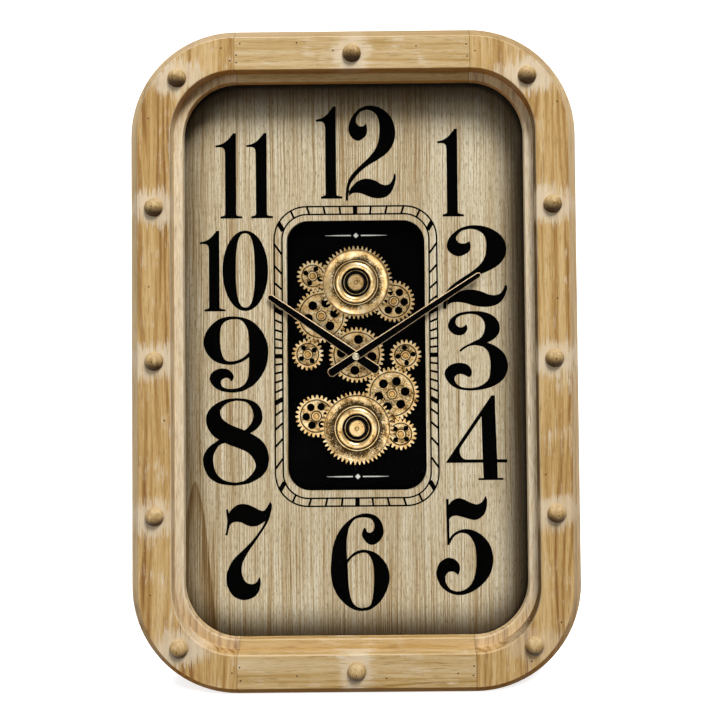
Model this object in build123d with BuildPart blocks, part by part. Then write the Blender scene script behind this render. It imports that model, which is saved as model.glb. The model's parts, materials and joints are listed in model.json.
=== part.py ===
"""Wooden gear wall clock: a pine box frame with a glazed dial, a window on a
running gear train, two hands, and the drives and hangers at the back.

Millimetres. X runs to the right, Y from front to back, Z up from the bottom rail.
Depths are counted backward from the front face of the frame.
"""
import os
from math import acos, atan2, cos, degrees, pi, radians, sin, tan
from typing import NamedTuple

from build123d import *

# Frame
CASE_WIDTH = 460.0
CASE_HEIGHT = 680.0
CORNER_RADIUS = 109.0
BEVEL_WIDTH = 9.5
BEVEL_DEPTH = 10.0
QUIRK_DEPTH = 1.2
FACE_WIDTH = 33.5
STEP_DEPTH = 14.0
LEDGE_WIDTH = 9.0
LIP_THICKNESS = 8.5
EDGE_ROUND = 1.4
WALL_THICKNESS = 18.0
RABBET_WIDTH = 10.0
JOINT_SCREW_GAP = 50.0
FRAME_SCREW_BITE = 18.0
BUTTON_RADIUS = 9.5
BUTTON_HEIGHT = 8.5
BUTTON_EDGE = 1.2
BUTTON_PITCH = 157.0
TENON_RADIUS = 5.0
TENON_LENGTH = 12.0

# Glass, dial and gear plate, one behind the other
GLASS_THICKNESS = 3.0
HAND_ROOM = 18.5
DIAL_THICKNESS = 6.0
LINER_DEPTH = 6.0
LINER_WIDTH = 12.0
LINER_SETBACK = 1.0
PLATE_THICKNESS = 3.0
PLATE_SCREW_SPACING = 190.0
PLATE_SCREW_BITE = 4.2
SPACER_WIDTH = 18.0
STRIP_SIZE = 12.0
STRIP_END_GAP = 15.0
PANEL_GAP = 0.5
WINDOW_HEIGHT = 292.0
WINDOW_RADIUS = 23.7
WINDOW_MARGIN = 4.4

# Gear train
MODULE = 1.615
CENTRE_TEETH = 36
IDLER_TEETH = 35
DRIVER_TEETH = 30
SIDE_TEETH = 27
PINION_TEETH = 20
WHEEL_TEETH = 50
ADDENDUM = 1.1
DEDENDUM = 2.45
FLANK_ANGLE = 17.0
TOOTH_SHARE = 0.42
GEAR_THICKNESS = 2.5
WEB_RECESS = 0.4
RIM_WIDTH = 1.9
BOSS_RADIUS = 5.1
BOSS_HEIGHT = 0.5
CENTRE_HOLE_COUNT = 4
CENTRE_HOLE_RADIUS = 5.0
IDLER_HOLE_COUNT = 6
IDLER_HOLE_RADIUS = 4.9
SIDE_HOLE_COUNT = 6
SIDE_HOLE_RADIUS = 4.2
PINION_HOLE_COUNT = 4
PINION_HOLE_RADIUS = 2.8
CENTRE_BOSS_RADIUS = 9.0
IDLER_BEARING = 131.7
UPPER_PINION_BEARING = 101.8
SIDE_PINION_BEARING = 250.2
UPPER_SIDE_BEARING = -27.0
LOWER_SIDE_BEARING = 163.8
STUD_RADIUS = 2.0
STUD_HEAD_RADIUS = 2.7
STUD_HEAD_HEIGHT = 1.0
WASHER_RADIUS = 4.0
WASHER_HEIGHT = 2.2
RUN_FIT = 0.05
END_FLOAT = 0.3

# Bearing of the first lightening hole of each gear
HOLE_BEARING = {
    "centre_gear": 83.0,
    "left_idler": 10.0,
    "right_idler": 10.0,
    "upper_right_gear": 57.0,
    "lower_left_gear": 3.0,
    "upper_left_pinion": 66.0,
    "left_pinion": 33.0,
    "right_pinion": 8.0,
    "lower_right_pinion": 48.0,
}

# Dished wheels in the front layer
WHEEL_TIP_RADIUS = 39.7
WHEEL_TOOTH_HEIGHT = 3.6
WHEEL_THICKNESS = 2.0
WHEEL_GAP = 0.6
WHEEL_RIM_WIDTH = 1.8
WHEEL_RIM_HEIGHT = 2.6
WHEEL_RIM_TOP = 0.8
WHEEL_RIM_EDGE = 2.1
WHEEL_LAND = 0.8
DISH_RISE = 0.8
RECESS_RADIUS = 15.1
RECESS_DEPTH = 1.0
RIDGE_HEIGHT = 1.3
RIDGE_RADIUS = 13.0
RIDGE_WIDTH = 1.0
RIDGE_TOP = 0.4
TORUS_WIDTH = 7.2
TORUS_HEIGHT = 3.4
TORUS_EDGE = 0.5
BEAD_GAP = 0.7
BEAD_WIDTH = 1.6
BEAD_TOP = 1.0
BEAD_HEIGHT = 1.5
BEAD_FOOT = 0.2
AXLE_RADIUS = 3.0
AXLE_COLLAR_RADIUS = 6.0
CAP_RADIUS = 8.9
CAP_HEIGHT = 3.7
CAP_ROUND = 0.8
CAP_BITE = 2.2
DIMPLE_RADIUS = 1.6
DIMPLE_DEPTH = 0.5

# Hands, set to the time of day in minutes
HOUR_BEARING = 304.75
MINUTE_LENGTH = 159.6
MINUTE_TAIL = 35.0
MINUTE_WIDTH = 9.6
MINUTE_TIP_WIDTH = 5.9
MINUTE_HUB_RADIUS = 4.0
MINUTE_HUB_LENGTH = 1.2
HOUR_LENGTH = 114.4
HOUR_TAIL = 29.0
HOUR_WIDTH = 10.7
HOUR_TIP_WIDTH = 6.9
HOUR_HUB_RADIUS = 5.0
HOUR_HUB_LENGTH = 2.0
HAND_THICKNESS = 1.2
HAND_BEVEL = 0.7
HAND_CLIP = 2.6
HAND_POINT_LENGTH = 2.8
HAND_POINT_WIDTH = 2.8
HAND_SPACING = 3.5
CAP_CLEARANCE = 6.5
HAND_CAP_RADIUS = 3.8
HAND_CAP_HEIGHT = 3.0
HAND_CAP_ROUND = 1.2
HAND_CAP_BITE = 1.5
ARBOR_RADIUS = 1.5
ARBOR_DEPTH = 5.0
ARBOR_ROOM = 1.0
SLEEVE_WALL = 1.0
SLEEVE_DEPTH = 3.0
BUSH_RADIUS = 4.0
BUSH_STAND = 0.5
NUT_RIM = 3.0
COLLAR_RIM = 2.2
COLLAR_HEIGHT = 1.0

# Drives at the back
MOVEMENT_SIZE = 56.0
MOTOR_WIDTH = 60.0
MOTOR_HEIGHT = 44.0
MOTOR_SHAFT_RISE = 9.0
CASE_RECESS = 3.0
CASE_ROUND = 4.0
CASE_GAP = 1.0
MOTOR_SHAFT_DEPTH = 9.6
BATTERY_RADIUS = 7.0
BATTERY_LENGTH = 50.0
BATTERY_ROUND = 0.6
BATTERY_NUB_RADIUS = 2.7
BATTERY_NUB_LENGTH = 1.5
BATTERY_FIT = 0.3
BAY_FLOOR = 1.7
BAY_WALL = 2.1
KNOB_RADIUS = 8.0
KNOB_RISE = 13.0
KNOB_SEAT_DEPTH = 2.0
KNOB_SETBACK = 1.0
KNOB_GAP = 1.0
KNOB_FLUTE_COUNT = 16
FLUTE_RADIUS = 1.0
FLUTE_OFFSET = 0.3
SPINDLE_RADIUS = 2.0
SPINDLE_LENGTH = 5.8
LUG_LENGTH = 9.0
LUG_HEIGHT = 14.0
LUG_THICKNESS = 2.5

# Back panel and hangers
PANEL_THICKNESS = 5.0
HANGER_THICKNESS = 1.5
HANGER_WIDTH = 20.0
HANGER_HEIGHT = 46.0
HANGER_SPACING = 200.0
HANGER_DROP = 62.0
HANGER_ROUND = 3.0
HANGER_SCREW_INSET = 6.0
KEYHOLE_RADIUS = 5.0
KEYHOLE_SLOT = 2.5
KEYHOLE_RISE = 12.0
KEYHOLE_DROP = 4.0
KEYHOLE_ROOM = 1.5
SCREW_RADIUS = 1.6
SCREW_HEAD_RADIUS = 3.2
SCREW_HEAD_HEIGHT = 1.3

# Depths that follow from the stack
LIP_BACK = STEP_DEPTH + LIP_THICKNESS
GLASS_BACK = LIP_BACK + GLASS_THICKNESS
DIAL_FRONT = GLASS_BACK + HAND_ROOM
DIAL_BACK = DIAL_FRONT + DIAL_THICKNESS
PLATE_FRONT = DIAL_BACK + LINER_DEPTH
PLATE_BACK = PLATE_FRONT + PLATE_THICKNESS
CASE_DEPTH = BAY_FLOOR + 2 * BATTERY_RADIUS + BATTERY_FIT
CASE_BACK = PLATE_BACK + CASE_DEPTH
FRAME_DEPTH = CASE_BACK + CASE_RECESS
PANEL_BACK = FRAME_DEPTH - HANGER_THICKNESS
PANEL_FRONT = PANEL_BACK - PANEL_THICKNESS
GEAR_BACK = PLATE_FRONT - WASHER_HEIGHT - END_FLOAT
GEAR_FRONT = GEAR_BACK - GEAR_THICKNESS
WHEEL_BACK = GEAR_FRONT - WHEEL_GAP
WHEEL_FRONT = WHEEL_BACK - WHEEL_THICKNESS
CAP_BACK = WHEEL_FRONT + RECESS_DEPTH - END_FLOAT
MINUTE_FRONT = GLASS_BACK + CAP_CLEARANCE + HAND_CAP_HEIGHT
HOUR_FRONT = MINUTE_FRONT + HAND_SPACING

FACE_END = BEVEL_WIDTH + FACE_WIDTH
RAIL_WIDTH = FACE_END + LEDGE_WIDTH
BUTTON_INSET = BEVEL_WIDTH + FACE_WIDTH / 2
FRONT_Y = (BUTTON_HEIGHT - FRAME_DEPTH) / 2
CENTRE_Z = CASE_HEIGHT / 2
HALF_WIDTH = CASE_WIDTH / 2
HALF_HEIGHT = CASE_HEIGHT / 2
CORNER_X = HALF_WIDTH - CORNER_RADIUS
CORNER_Z = HALF_HEIGHT - CORNER_RADIUS
BACKWARD = Vector(0, 1, 0)


def front(depth, x=0.0, z=0.0, turn=0.0):
    """Plane that faces the viewer at a depth, about a point measured from the dial centre."""
    across = (cos(radians(turn)), 0, sin(radians(turn)))
    return Plane(origin=(x, FRONT_Y + depth, CENTRE_Z + z), x_dir=across, z_dir=(0, -1, 0))


def axle(x, z):
    """Axis from front to back through a point measured from the dial centre."""
    return Axis((x, 0, CENTRE_Z + z), (0, 1, 0))


def section(depth, x, z):
    """Plane through an axle, with the radius along x and the height toward the viewer along y."""
    return Plane(origin=(x, FRONT_Y + depth, CENTRE_Z + z), x_dir=(1, 0, 0), z_dir=(0, 0, -1))


def outline(inset, mode=Mode.ADD):
    """Rounded outline of the clock, set in by a distance all round."""
    width = CASE_WIDTH - 2 * inset
    height = CASE_HEIGHT - 2 * inset
    return RectangleRounded(width, height, CORNER_RADIUS - inset, mode=mode)


def bore(depth_from, depth_to, radius, places):
    """Cuts round holes between two depths in the part under construction."""
    with BuildSketch(front(depth_to)) as rounds:
        with Locations(*places):
            Circle(radius)
    extrude(rounds.sketch, amount=depth_to - depth_from, mode=Mode.SUBTRACT)


def pegs(depth_from, depth_to, radius, places):
    """Adds round pegs between two depths to the part under construction."""
    with BuildSketch(front(depth_to)) as rounds:
        with Locations(*places):
            Circle(radius)
    extrude(rounds.sketch, amount=depth_to - depth_from)


def save(piece, name):
    """Labels a finished piece and writes its file."""
    piece.part.label = name
    export_step(piece.part, f"parts/{name}.step")


# Places that several pieces share, measured from the dial centre
STILE_BUTTONS = (-BUTTON_PITCH, 0.0, BUTTON_PITCH)
CORNER_BUTTON = (CORNER_RADIUS - BUTTON_INSET) * cos(radians(45))
LEFT_BUTTONS = [(BUTTON_INSET - HALF_WIDTH, z) for z in STILE_BUTTONS]
LEFT_BUTTONS += [(-CORNER_X - CORNER_BUTTON, side * (CORNER_Z + CORNER_BUTTON)) for side in (-1, 1)]
RIGHT_BUTTONS = [(-x, z) for x, z in LEFT_BUTTONS]
TOP_BUTTONS = [(0.0, HALF_HEIGHT - BUTTON_INSET)]
BOTTOM_BUTTONS = [(0.0, BUTTON_INSET - HALF_HEIGHT)]

SCREW_INSET = WALL_THICKNESS - RABBET_WIDTH / 2
STILE_SCREWS = [side * (CORNER_Z - JOINT_SCREW_GAP) for side in (-1, 0, 1)]
RAIL_SCREWS = [side * (CORNER_X - JOINT_SCREW_GAP) for side in (-1, 1)]
LEFT_SCREWS = [(SCREW_INSET - HALF_WIDTH, z) for z in STILE_SCREWS]
RIGHT_SCREWS = [(HALF_WIDTH - SCREW_INSET, z) for z in STILE_SCREWS]
TOP_SCREWS = [(x, HALF_HEIGHT - SCREW_INSET) for x in RAIL_SCREWS]
BOTTOM_SCREWS = [(x, SCREW_INSET - HALF_HEIGHT) for x in RAIL_SCREWS]
PANEL_SCREWS = LEFT_SCREWS + RIGHT_SCREWS + TOP_SCREWS + BOTTOM_SCREWS
SCREW_TIP = PANEL_FRONT - FRAME_SCREW_BITE

HANGER_Z = HALF_HEIGHT - HANGER_DROP
HANGERS = [(-HANGER_SPACING / 2, HANGER_Z), (HANGER_SPACING / 2, HANGER_Z)]
HANGER_SCREW_RISE = HANGER_HEIGHT / 2 - HANGER_SCREW_INSET
HANGER_SCREWS = [(x, z + side * HANGER_SCREW_RISE) for x, z in HANGERS for side in (-1, 1)]
KEYHOLES = [(x, z - KEYHOLE_DROP + KEYHOLE_RISE / 2) for x, z in HANGERS]


def frame_length(runs, buttons, screws):
    """One length of the frame: its moulding swept straight or round a corner, run after run."""
    rounded = [(FACE_END, 0), (RAIL_WIDTH, STEP_DEPTH), (RAIL_WIDTH, LIP_BACK)]
    with BuildPart() as piece:
        for start, inward, corner, length in runs:
            origin = (start[0], FRONT_Y, CENTRE_Z + start[1])
            across = Vector(inward[0], 0, inward[1])
            with BuildSketch(Plane(origin=origin, x_dir=across, z_dir=across.cross(BACKWARD))) as profile:
                with BuildLine():
                    Polyline(
                        (0, FRAME_DEPTH),
                        (0, BEVEL_DEPTH),
                        (BEVEL_WIDTH, QUIRK_DEPTH),
                        (BEVEL_WIDTH, 0),
                        (FACE_END, 0),
                        (FACE_END, STEP_DEPTH),
                        (RAIL_WIDTH, STEP_DEPTH),
                        (RAIL_WIDTH, LIP_BACK),
                        (WALL_THICKNESS, LIP_BACK),
                        (WALL_THICKNESS, PANEL_FRONT),
                        (WALL_THICKNESS - RABBET_WIDTH, PANEL_FRONT),
                        (WALL_THICKNESS - RABBET_WIDTH, FRAME_DEPTH),
                        close=True,
                    )
                make_face()
                fillet([profile.vertices().sort_by_distance(place)[0] for place in rounded], EDGE_ROUND)
            if corner:
                revolve(axis=axle(*corner), revolution_arc=90)
            else:
                extrude(amount=length)
        bore(0, TENON_LENGTH + END_FLOAT, TENON_RADIUS + RUN_FIT, buttons)
        bore(SCREW_TIP, PANEL_FRONT, SCREW_RADIUS, screws)
    return piece


def disc(depth_from, depth_to, radius, x=0.0, z=0.0, hole=0.0):
    """Adds a round disc or ring between two depths to the part under construction."""
    with BuildSketch(front(depth_to, x, z)) as rounds:
        Circle(radius)
        if hole:
            Circle(hole, mode=Mode.SUBTRACT)
    extrude(rounds.sketch, amount=depth_to - depth_from)


def strip(depth_from, depth_to, width, height, x=0.0, z=0.0):
    """A rectangular strip between two depths."""
    with BuildPart() as piece:
        with BuildSketch(front(depth_to, x, z)):
            Rectangle(width, height)
        extrude(amount=depth_to - depth_from)
    return piece


def ring(depth_from, depth_to, outer_inset, inner_inset):
    """A ring that follows the outline of the clock between two insets."""
    with BuildPart() as piece:
        with BuildSketch(front(depth_to)):
            outline(outer_inset)
            outline(inner_inset, mode=Mode.SUBTRACT)
        extrude(amount=depth_to - depth_from)
    return piece


class Gear(NamedTuple):
    """Place of a gear: tooth count, centre from the dial centre, bearing of one tooth."""

    teeth: int
    x: float
    z: float
    phase: float


def pitch_radius(teeth):
    """Radius on which two meshing gears roll."""
    return MODULE * teeth / 2


def meshed(parent, teeth, bearing):
    """Gear that meshes with its parent at a bearing, with a tooth in the parent's gap."""
    reach = pitch_radius(parent.teeth) + pitch_radius(teeth)
    x = parent.x + reach * cos(radians(bearing))
    z = parent.z + reach * sin(radians(bearing))
    share = ((bearing - parent.phase) * parent.teeth / 360) % 1
    return Gear(teeth, x, z, bearing + 180 - (0.5 - share) * 360 / teeth)


def tooth_points(teeth, rolling, tip, root, phase=0.0):
    """Corners of straight-sided teeth, four to a tooth, counter-clockwise."""
    pitch = 2 * pi * rolling / teeth
    points = []
    for number in range(teeth):
        middle = radians(phase) + 2 * pi * number / teeth
        for radius, side in ((root, -1), (tip, -1), (tip, 1), (root, 1)):
            half = TOOTH_SHARE * pitch / 2 - (radius - rolling) * tan(radians(FLANK_ANGLE))
            angle = middle + side * half / radius
            points.append((radius * cos(angle), radius * sin(angle)))
    return points


def toothed(depth_from, depth_to, gear):
    """Adds a toothed disc of the train."""
    rolling = pitch_radius(gear.teeth)
    with BuildSketch(front(depth_to, gear.x, gear.z)) as rim:
        with BuildLine():
            Polyline(
                *tooth_points(gear.teeth, rolling, rolling + ADDENDUM, rolling - DEDENDUM, gear.phase),
                close=True,
            )
        make_face()
    extrude(rim.sketch, amount=depth_to - depth_from)


def spur_gear(name, gear, holes, hole_radius, boss, axle_radius):
    """A gear with a sunk web, a boss round its bore and holes halfway between boss and rim."""
    web = pitch_radius(gear.teeth) - DEDENDUM - RIM_WIDTH
    with BuildPart() as piece:
        toothed(GEAR_FRONT, GEAR_BACK, gear)
        with BuildSketch(front(GEAR_FRONT, gear.x, gear.z)):
            Circle(web)
        extrude(amount=-WEB_RECESS, mode=Mode.SUBTRACT)
        with BuildSketch(front(GEAR_BACK, gear.x, gear.z)):
            with PolarLocations((web + boss) / 2, holes, start_angle=HOLE_BEARING[name]):
                Circle(hole_radius)
        extrude(amount=GEAR_THICKNESS, mode=Mode.SUBTRACT)
        disc(GEAR_FRONT - BOSS_HEIGHT, GEAR_FRONT + WEB_RECESS, boss, gear.x, gear.z)
        bore(GEAR_FRONT - BOSS_HEIGHT, GEAR_BACK, axle_radius + RUN_FIT, [(gear.x, gear.z)])
    return piece


def driver_gear(gear, axle_radius):
    """The hidden gear under a dished wheel, with a hub that carries the wheel."""
    with BuildPart() as piece:
        toothed(GEAR_FRONT, GEAR_BACK, gear)
        disc(WHEEL_BACK, GEAR_FRONT, RECESS_RADIUS, gear.x, gear.z)
        bore(WHEEL_BACK, GEAR_BACK, axle_radius, [(gear.x, gear.z)])
    return piece


def dished_wheel(x, z, axle_radius):
    """A toothed wheel whose front face is turned into rim, dish, bead, torus and recess."""
    root = WHEEL_TIP_RADIUS - WHEEL_TOOTH_HEIGHT
    rim = root - WHEEL_LAND
    dish = rim - WHEEL_RIM_WIDTH
    torus = RECESS_RADIUS + TORUS_WIDTH
    bead = torus + BEAD_GAP
    bead_end = bead + BEAD_WIDTH
    bead_slope = (BEAD_WIDTH - BEAD_TOP) / 2
    rim_slope = (WHEEL_RIM_WIDTH - WHEEL_RIM_TOP) / 2
    floor = -RECESS_DEPTH
    with BuildPart() as piece:
        with BuildSketch(front(WHEEL_BACK, x, z)):
            with BuildLine():
                Polyline(
                    *tooth_points(WHEEL_TEETH, (WHEEL_TIP_RADIUS + root) / 2, WHEEL_TIP_RADIUS, root),
                    close=True,
                )
            make_face()
            Circle(dish, mode=Mode.SUBTRACT)
        extrude(amount=WHEEL_THICKNESS)
        with BuildSketch(section(WHEEL_FRONT, x, z)):
            with BuildLine():
                inner = Polyline(
                    (axle_radius, -WHEEL_THICKNESS),
                    (axle_radius, floor),
                    (RIDGE_RADIUS - RIDGE_WIDTH / 2, floor),
                    (RIDGE_RADIUS - RIDGE_TOP / 2, floor + RIDGE_HEIGHT),
                    (RIDGE_RADIUS + RIDGE_TOP / 2, floor + RIDGE_HEIGHT),
                    (RIDGE_RADIUS + RIDGE_WIDTH / 2, floor),
                    (RECESS_RADIUS, floor),
                    (RECESS_RADIUS, TORUS_EDGE),
                )
                crown = ((RECESS_RADIUS + torus) / 2, TORUS_HEIGHT)
                ThreePointArc(inner @ 1, crown, (torus, TORUS_EDGE))
                middle = Polyline(
                    (torus, TORUS_EDGE),
                    (torus, 0),
                    (bead, 0),
                    (bead + bead_slope, BEAD_HEIGHT),
                    (bead_end - bead_slope, BEAD_HEIGHT),
                    (bead_end, BEAD_FOOT),
                )
                ThreePointArc(middle @ 1, ((bead_end + dish) / 2, DISH_RISE), (dish, WHEEL_RIM_EDGE))
                Polyline(
                    (dish, WHEEL_RIM_EDGE),
                    (dish + rim_slope, WHEEL_RIM_HEIGHT),
                    (rim - rim_slope, WHEEL_RIM_HEIGHT),
                    (rim, 0),
                    (rim, -WHEEL_THICKNESS),
                    (axle_radius, -WHEEL_THICKNESS),
                )
            make_face()
        revolve(axis=axle(x, z), revolution_arc=360)
    return piece


def wheel_cap(x, z):
    """The round cap in the middle of a dished wheel, pressed on the end of its axle."""
    with BuildPart() as piece:
        disc(CAP_BACK - CAP_HEIGHT, CAP_BACK, CAP_RADIUS, x, z)
        fillet(piece.faces().sort_by(Axis.Y)[0].edges(), CAP_ROUND)
        with BuildSketch(front(CAP_BACK - CAP_HEIGHT, x, z)):
            Circle(DIMPLE_RADIUS)
        extrude(amount=-DIMPLE_DEPTH, mode=Mode.SUBTRACT)
        bore(AXLE_FRONT, CAP_BACK, AXLE_RADIUS, [(x, z)])
    return piece


class HandShape(NamedTuple):
    """Sizes of a hand: reach of its two ends, widths at the tail and tip, hub behind it."""

    length: float
    tail: float
    width: float
    tip_width: float
    hub_radius: float
    hub_length: float


def hand(depth, turns, shape, hole):
    """A flat tapered hand with bevelled edges and a hub behind, set by its turns for one of the hour hand."""
    turn = -(HOUR_BEARING * turns) % 360
    back = depth + HAND_THICKNESS
    wide = shape.width / 2
    narrow = shape.tip_width / 2
    point = HAND_POINT_WIDTH / 2
    with BuildPart() as piece:
        with BuildSketch(front(back, turn=turn)):
            with BuildLine():
                Polyline(
                    (HAND_CLIP - wide, -shape.tail),
                    (wide - HAND_CLIP, -shape.tail),
                    (wide, HAND_CLIP - shape.tail),
                    (narrow, shape.length - HAND_POINT_LENGTH),
                    (point, shape.length),
                    (-point, shape.length),
                    (-narrow, shape.length - HAND_POINT_LENGTH),
                    (-wide, HAND_CLIP - shape.tail),
                    close=True,
                )
            make_face()
        extrude(amount=HAND_THICKNESS)
        chamfer(piece.faces().sort_by(Axis.Y)[0].edges(), HAND_BEVEL)
        disc(back, back + shape.hub_length, shape.hub_radius)
        bore(depth, back + shape.hub_length, hole, [(0, 0)])
    return piece


def drive_case(width, height, x, z, bay_z):
    """Adds a plastic drive case with a trough for one cell at the back."""
    with BuildSketch(front(CASE_BACK, x, z)) as body:
        RectangleRounded(width, height, CASE_ROUND)
    extrude(body.sketch, amount=CASE_DEPTH)
    with BuildSketch(front(CASE_BACK, x, bay_z)) as trough:
        Rectangle(BATTERY_LENGTH + 2 * BATTERY_FIT, 2 * (BATTERY_RADIUS + BATTERY_FIT))
    extrude(trough.sketch, amount=CASE_DEPTH - BAY_FLOOR, mode=Mode.SUBTRACT)


def battery(x, z):
    """A plain round cell with its small cap, lying across the trough."""
    middle_y = FRONT_Y + CASE_BACK - BATTERY_RADIUS
    with BuildPart() as piece:
        end = (x - BATTERY_LENGTH / 2, middle_y, CENTRE_Z + z)
        with BuildSketch(Plane(origin=end, z_dir=(1, 0, 0))):
            Circle(BATTERY_RADIUS)
        extrude(amount=BATTERY_LENGTH - BATTERY_NUB_LENGTH)
        fillet(piece.edges().filter_by(GeomType.CIRCLE), BATTERY_ROUND)
        with BuildSketch(Plane(origin=(x, middle_y, CENTRE_Z + z), z_dir=(1, 0, 0))):
            Circle(BATTERY_NUB_RADIUS)
        extrude(amount=BATTERY_LENGTH / 2)
    return piece


# Places of the gears, the lower half turned half round from the upper half
CENTRE = Gear(CENTRE_TEETH, 0.0, 0.0, 90.0)
LEFT_IDLER = meshed(CENTRE, IDLER_TEETH, IDLER_BEARING)
RIGHT_IDLER = meshed(CENTRE, IDLER_TEETH, IDLER_BEARING + 180)
DRIVER_REACH = pitch_radius(IDLER_TEETH) + pitch_radius(DRIVER_TEETH)
DRIVER_BEARING = degrees(acos(-LEFT_IDLER.x / DRIVER_REACH))
UPPER_DRIVER = meshed(LEFT_IDLER, DRIVER_TEETH, DRIVER_BEARING)
LOWER_DRIVER = meshed(RIGHT_IDLER, DRIVER_TEETH, DRIVER_BEARING + 180)
UPPER_LEFT_PINION = meshed(LEFT_IDLER, PINION_TEETH, UPPER_PINION_BEARING)
LEFT_PINION = meshed(LEFT_IDLER, PINION_TEETH, SIDE_PINION_BEARING)
LOWER_RIGHT_PINION = meshed(RIGHT_IDLER, PINION_TEETH, UPPER_PINION_BEARING + 180)
RIGHT_PINION = meshed(RIGHT_IDLER, PINION_TEETH, SIDE_PINION_BEARING + 180)
UPPER_RIGHT_GEAR = meshed(UPPER_DRIVER, SIDE_TEETH, UPPER_SIDE_BEARING)
LOWER_LEFT_GEAR = meshed(LOWER_DRIVER, SIDE_TEETH, LOWER_SIDE_BEARING)

# Gears on studs: place, lightening holes and their radius
STUD_GEARS = {
    "left_idler": (LEFT_IDLER, IDLER_HOLE_COUNT, IDLER_HOLE_RADIUS),
    "right_idler": (RIGHT_IDLER, IDLER_HOLE_COUNT, IDLER_HOLE_RADIUS),
    "upper_right_gear": (UPPER_RIGHT_GEAR, SIDE_HOLE_COUNT, SIDE_HOLE_RADIUS),
    "lower_left_gear": (LOWER_LEFT_GEAR, SIDE_HOLE_COUNT, SIDE_HOLE_RADIUS),
    "upper_left_pinion": (UPPER_LEFT_PINION, PINION_HOLE_COUNT, PINION_HOLE_RADIUS),
    "left_pinion": (LEFT_PINION, PINION_HOLE_COUNT, PINION_HOLE_RADIUS),
    "right_pinion": (RIGHT_PINION, PINION_HOLE_COUNT, PINION_HOLE_RADIUS),
    "lower_right_pinion": (LOWER_RIGHT_PINION, PINION_HOLE_COUNT, PINION_HOLE_RADIUS),
}
STUDS = [(gear.x, gear.z) for gear, *_ in STUD_GEARS.values()]
STUD_HEAD_BACK = GEAR_FRONT - BOSS_HEIGHT - END_FLOAT
AXLE_FRONT = CAP_BACK - CAP_BITE
UPPER_AXLE = (UPPER_DRIVER.x, UPPER_DRIVER.z)
LOWER_AXLE = (LOWER_DRIVER.x, LOWER_DRIVER.z)
TRAIN_REACH = max(abs(gear.x) + pitch_radius(gear.teeth) + ADDENDUM for gear, *_ in STUD_GEARS.values())
WINDOW_WIDTH = 2 * (TRAIN_REACH + WINDOW_MARGIN)
OPENING_WIDTH = WINDOW_WIDTH + 2 * LINER_SETBACK
OPENING_HEIGHT = WINDOW_HEIGHT + 2 * LINER_SETBACK
OPENING_RADIUS = WINDOW_RADIUS + LINER_SETBACK
PLATE_WIDTH = OPENING_WIDTH + 2 * LINER_WIDTH
PLATE_HEIGHT = OPENING_HEIGHT + 2 * LINER_WIDTH
PLATE_RADIUS = OPENING_RADIUS + LINER_WIDTH
PLATE_SCREW_X = (PLATE_WIDTH - LINER_WIDTH) / 2
PLATE_SCREW_Z = (PLATE_HEIGHT - LINER_WIDTH) / 2
PLATE_SCREWS = [(a * PLATE_SCREW_X, b * PLATE_SCREW_SPACING / 2) for a in (-1, 1) for b in (-1, 1)]
PLATE_SCREWS += [(0.0, -PLATE_SCREW_Z), (0.0, PLATE_SCREW_Z)]
PLATE_SCREW_TIP = PLATE_FRONT - PLATE_SCREW_BITE

BAY_RISE = BATTERY_RADIUS + BATTERY_FIT + BAY_WALL
MOVEMENT_BAY_Z = BAY_RISE - MOVEMENT_SIZE / 2
MOTOR_Z = LOWER_DRIVER.z - MOTOR_SHAFT_RISE
MOTOR_BAY_Z = MOTOR_Z + BAY_RISE - MOTOR_HEIGHT / 2
MOTOR_SCREW_X = MOTOR_WIDTH / 2 + LUG_LENGTH / 2
MOTOR_SCREWS = [(-MOTOR_SCREW_X, MOTOR_Z), (MOTOR_SCREW_X, MOTOR_Z)]
SLEEVE_RADIUS = ARBOR_RADIUS + RUN_FIT + SLEEVE_WALL
SLEEVE_BACK = PLATE_BACK + SLEEVE_DEPTH
ARBOR_BACK = PLATE_BACK + ARBOR_DEPTH
NUT_FRONT = GEAR_BACK + END_FLOAT
COLLAR_BACK = GEAR_FRONT - BOSS_HEIGHT - END_FLOAT
COLLAR_FRONT = COLLAR_BACK - COLLAR_HEIGHT
BUSH_FRONT = COLLAR_FRONT - BUSH_STAND
KNOB_SEAT = CASE_BACK - KNOB_SEAT_DEPTH
KNOB_FRONT = KNOB_SEAT + END_FLOAT
KNOB_BACK = FRAME_DEPTH - KNOB_SETBACK
SPINDLE_FRONT = KNOB_FRONT - SPINDLE_LENGTH
LUG_BACK = PLATE_BACK + LUG_THICKNESS
MOTOR_BEARING = PLATE_BACK + MOTOR_SHAFT_DEPTH

os.makedirs("parts", exist_ok=True)

# Frame
STILE = 2 * CORNER_Z
RAIL = 2 * CORNER_X
LEFT_RUNS = [
    ((-CORNER_X, -HALF_HEIGHT), (0, 1), (-CORNER_X, -CORNER_Z), 0.0),
    ((-HALF_WIDTH, -CORNER_Z), (1, 0), None, STILE),
    ((-HALF_WIDTH, CORNER_Z), (1, 0), (-CORNER_X, CORNER_Z), 0.0),
]
RIGHT_RUNS = [
    ((CORNER_X, HALF_HEIGHT), (0, -1), (CORNER_X, CORNER_Z), 0.0),
    ((HALF_WIDTH, CORNER_Z), (-1, 0), None, STILE),
    ((HALF_WIDTH, -CORNER_Z), (-1, 0), (CORNER_X, -CORNER_Z), 0.0),
]
TOP_RUNS = [((-CORNER_X, HALF_HEIGHT), (0, -1), None, RAIL)]
BOTTOM_RUNS = [((CORNER_X, -HALF_HEIGHT), (0, 1), None, RAIL)]
save(frame_length(LEFT_RUNS, LEFT_BUTTONS, LEFT_SCREWS), "left_stile")
save(frame_length(RIGHT_RUNS, RIGHT_BUTTONS, RIGHT_SCREWS), "right_stile")
save(frame_length(TOP_RUNS, TOP_BUTTONS, TOP_SCREWS), "top_rail")
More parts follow.
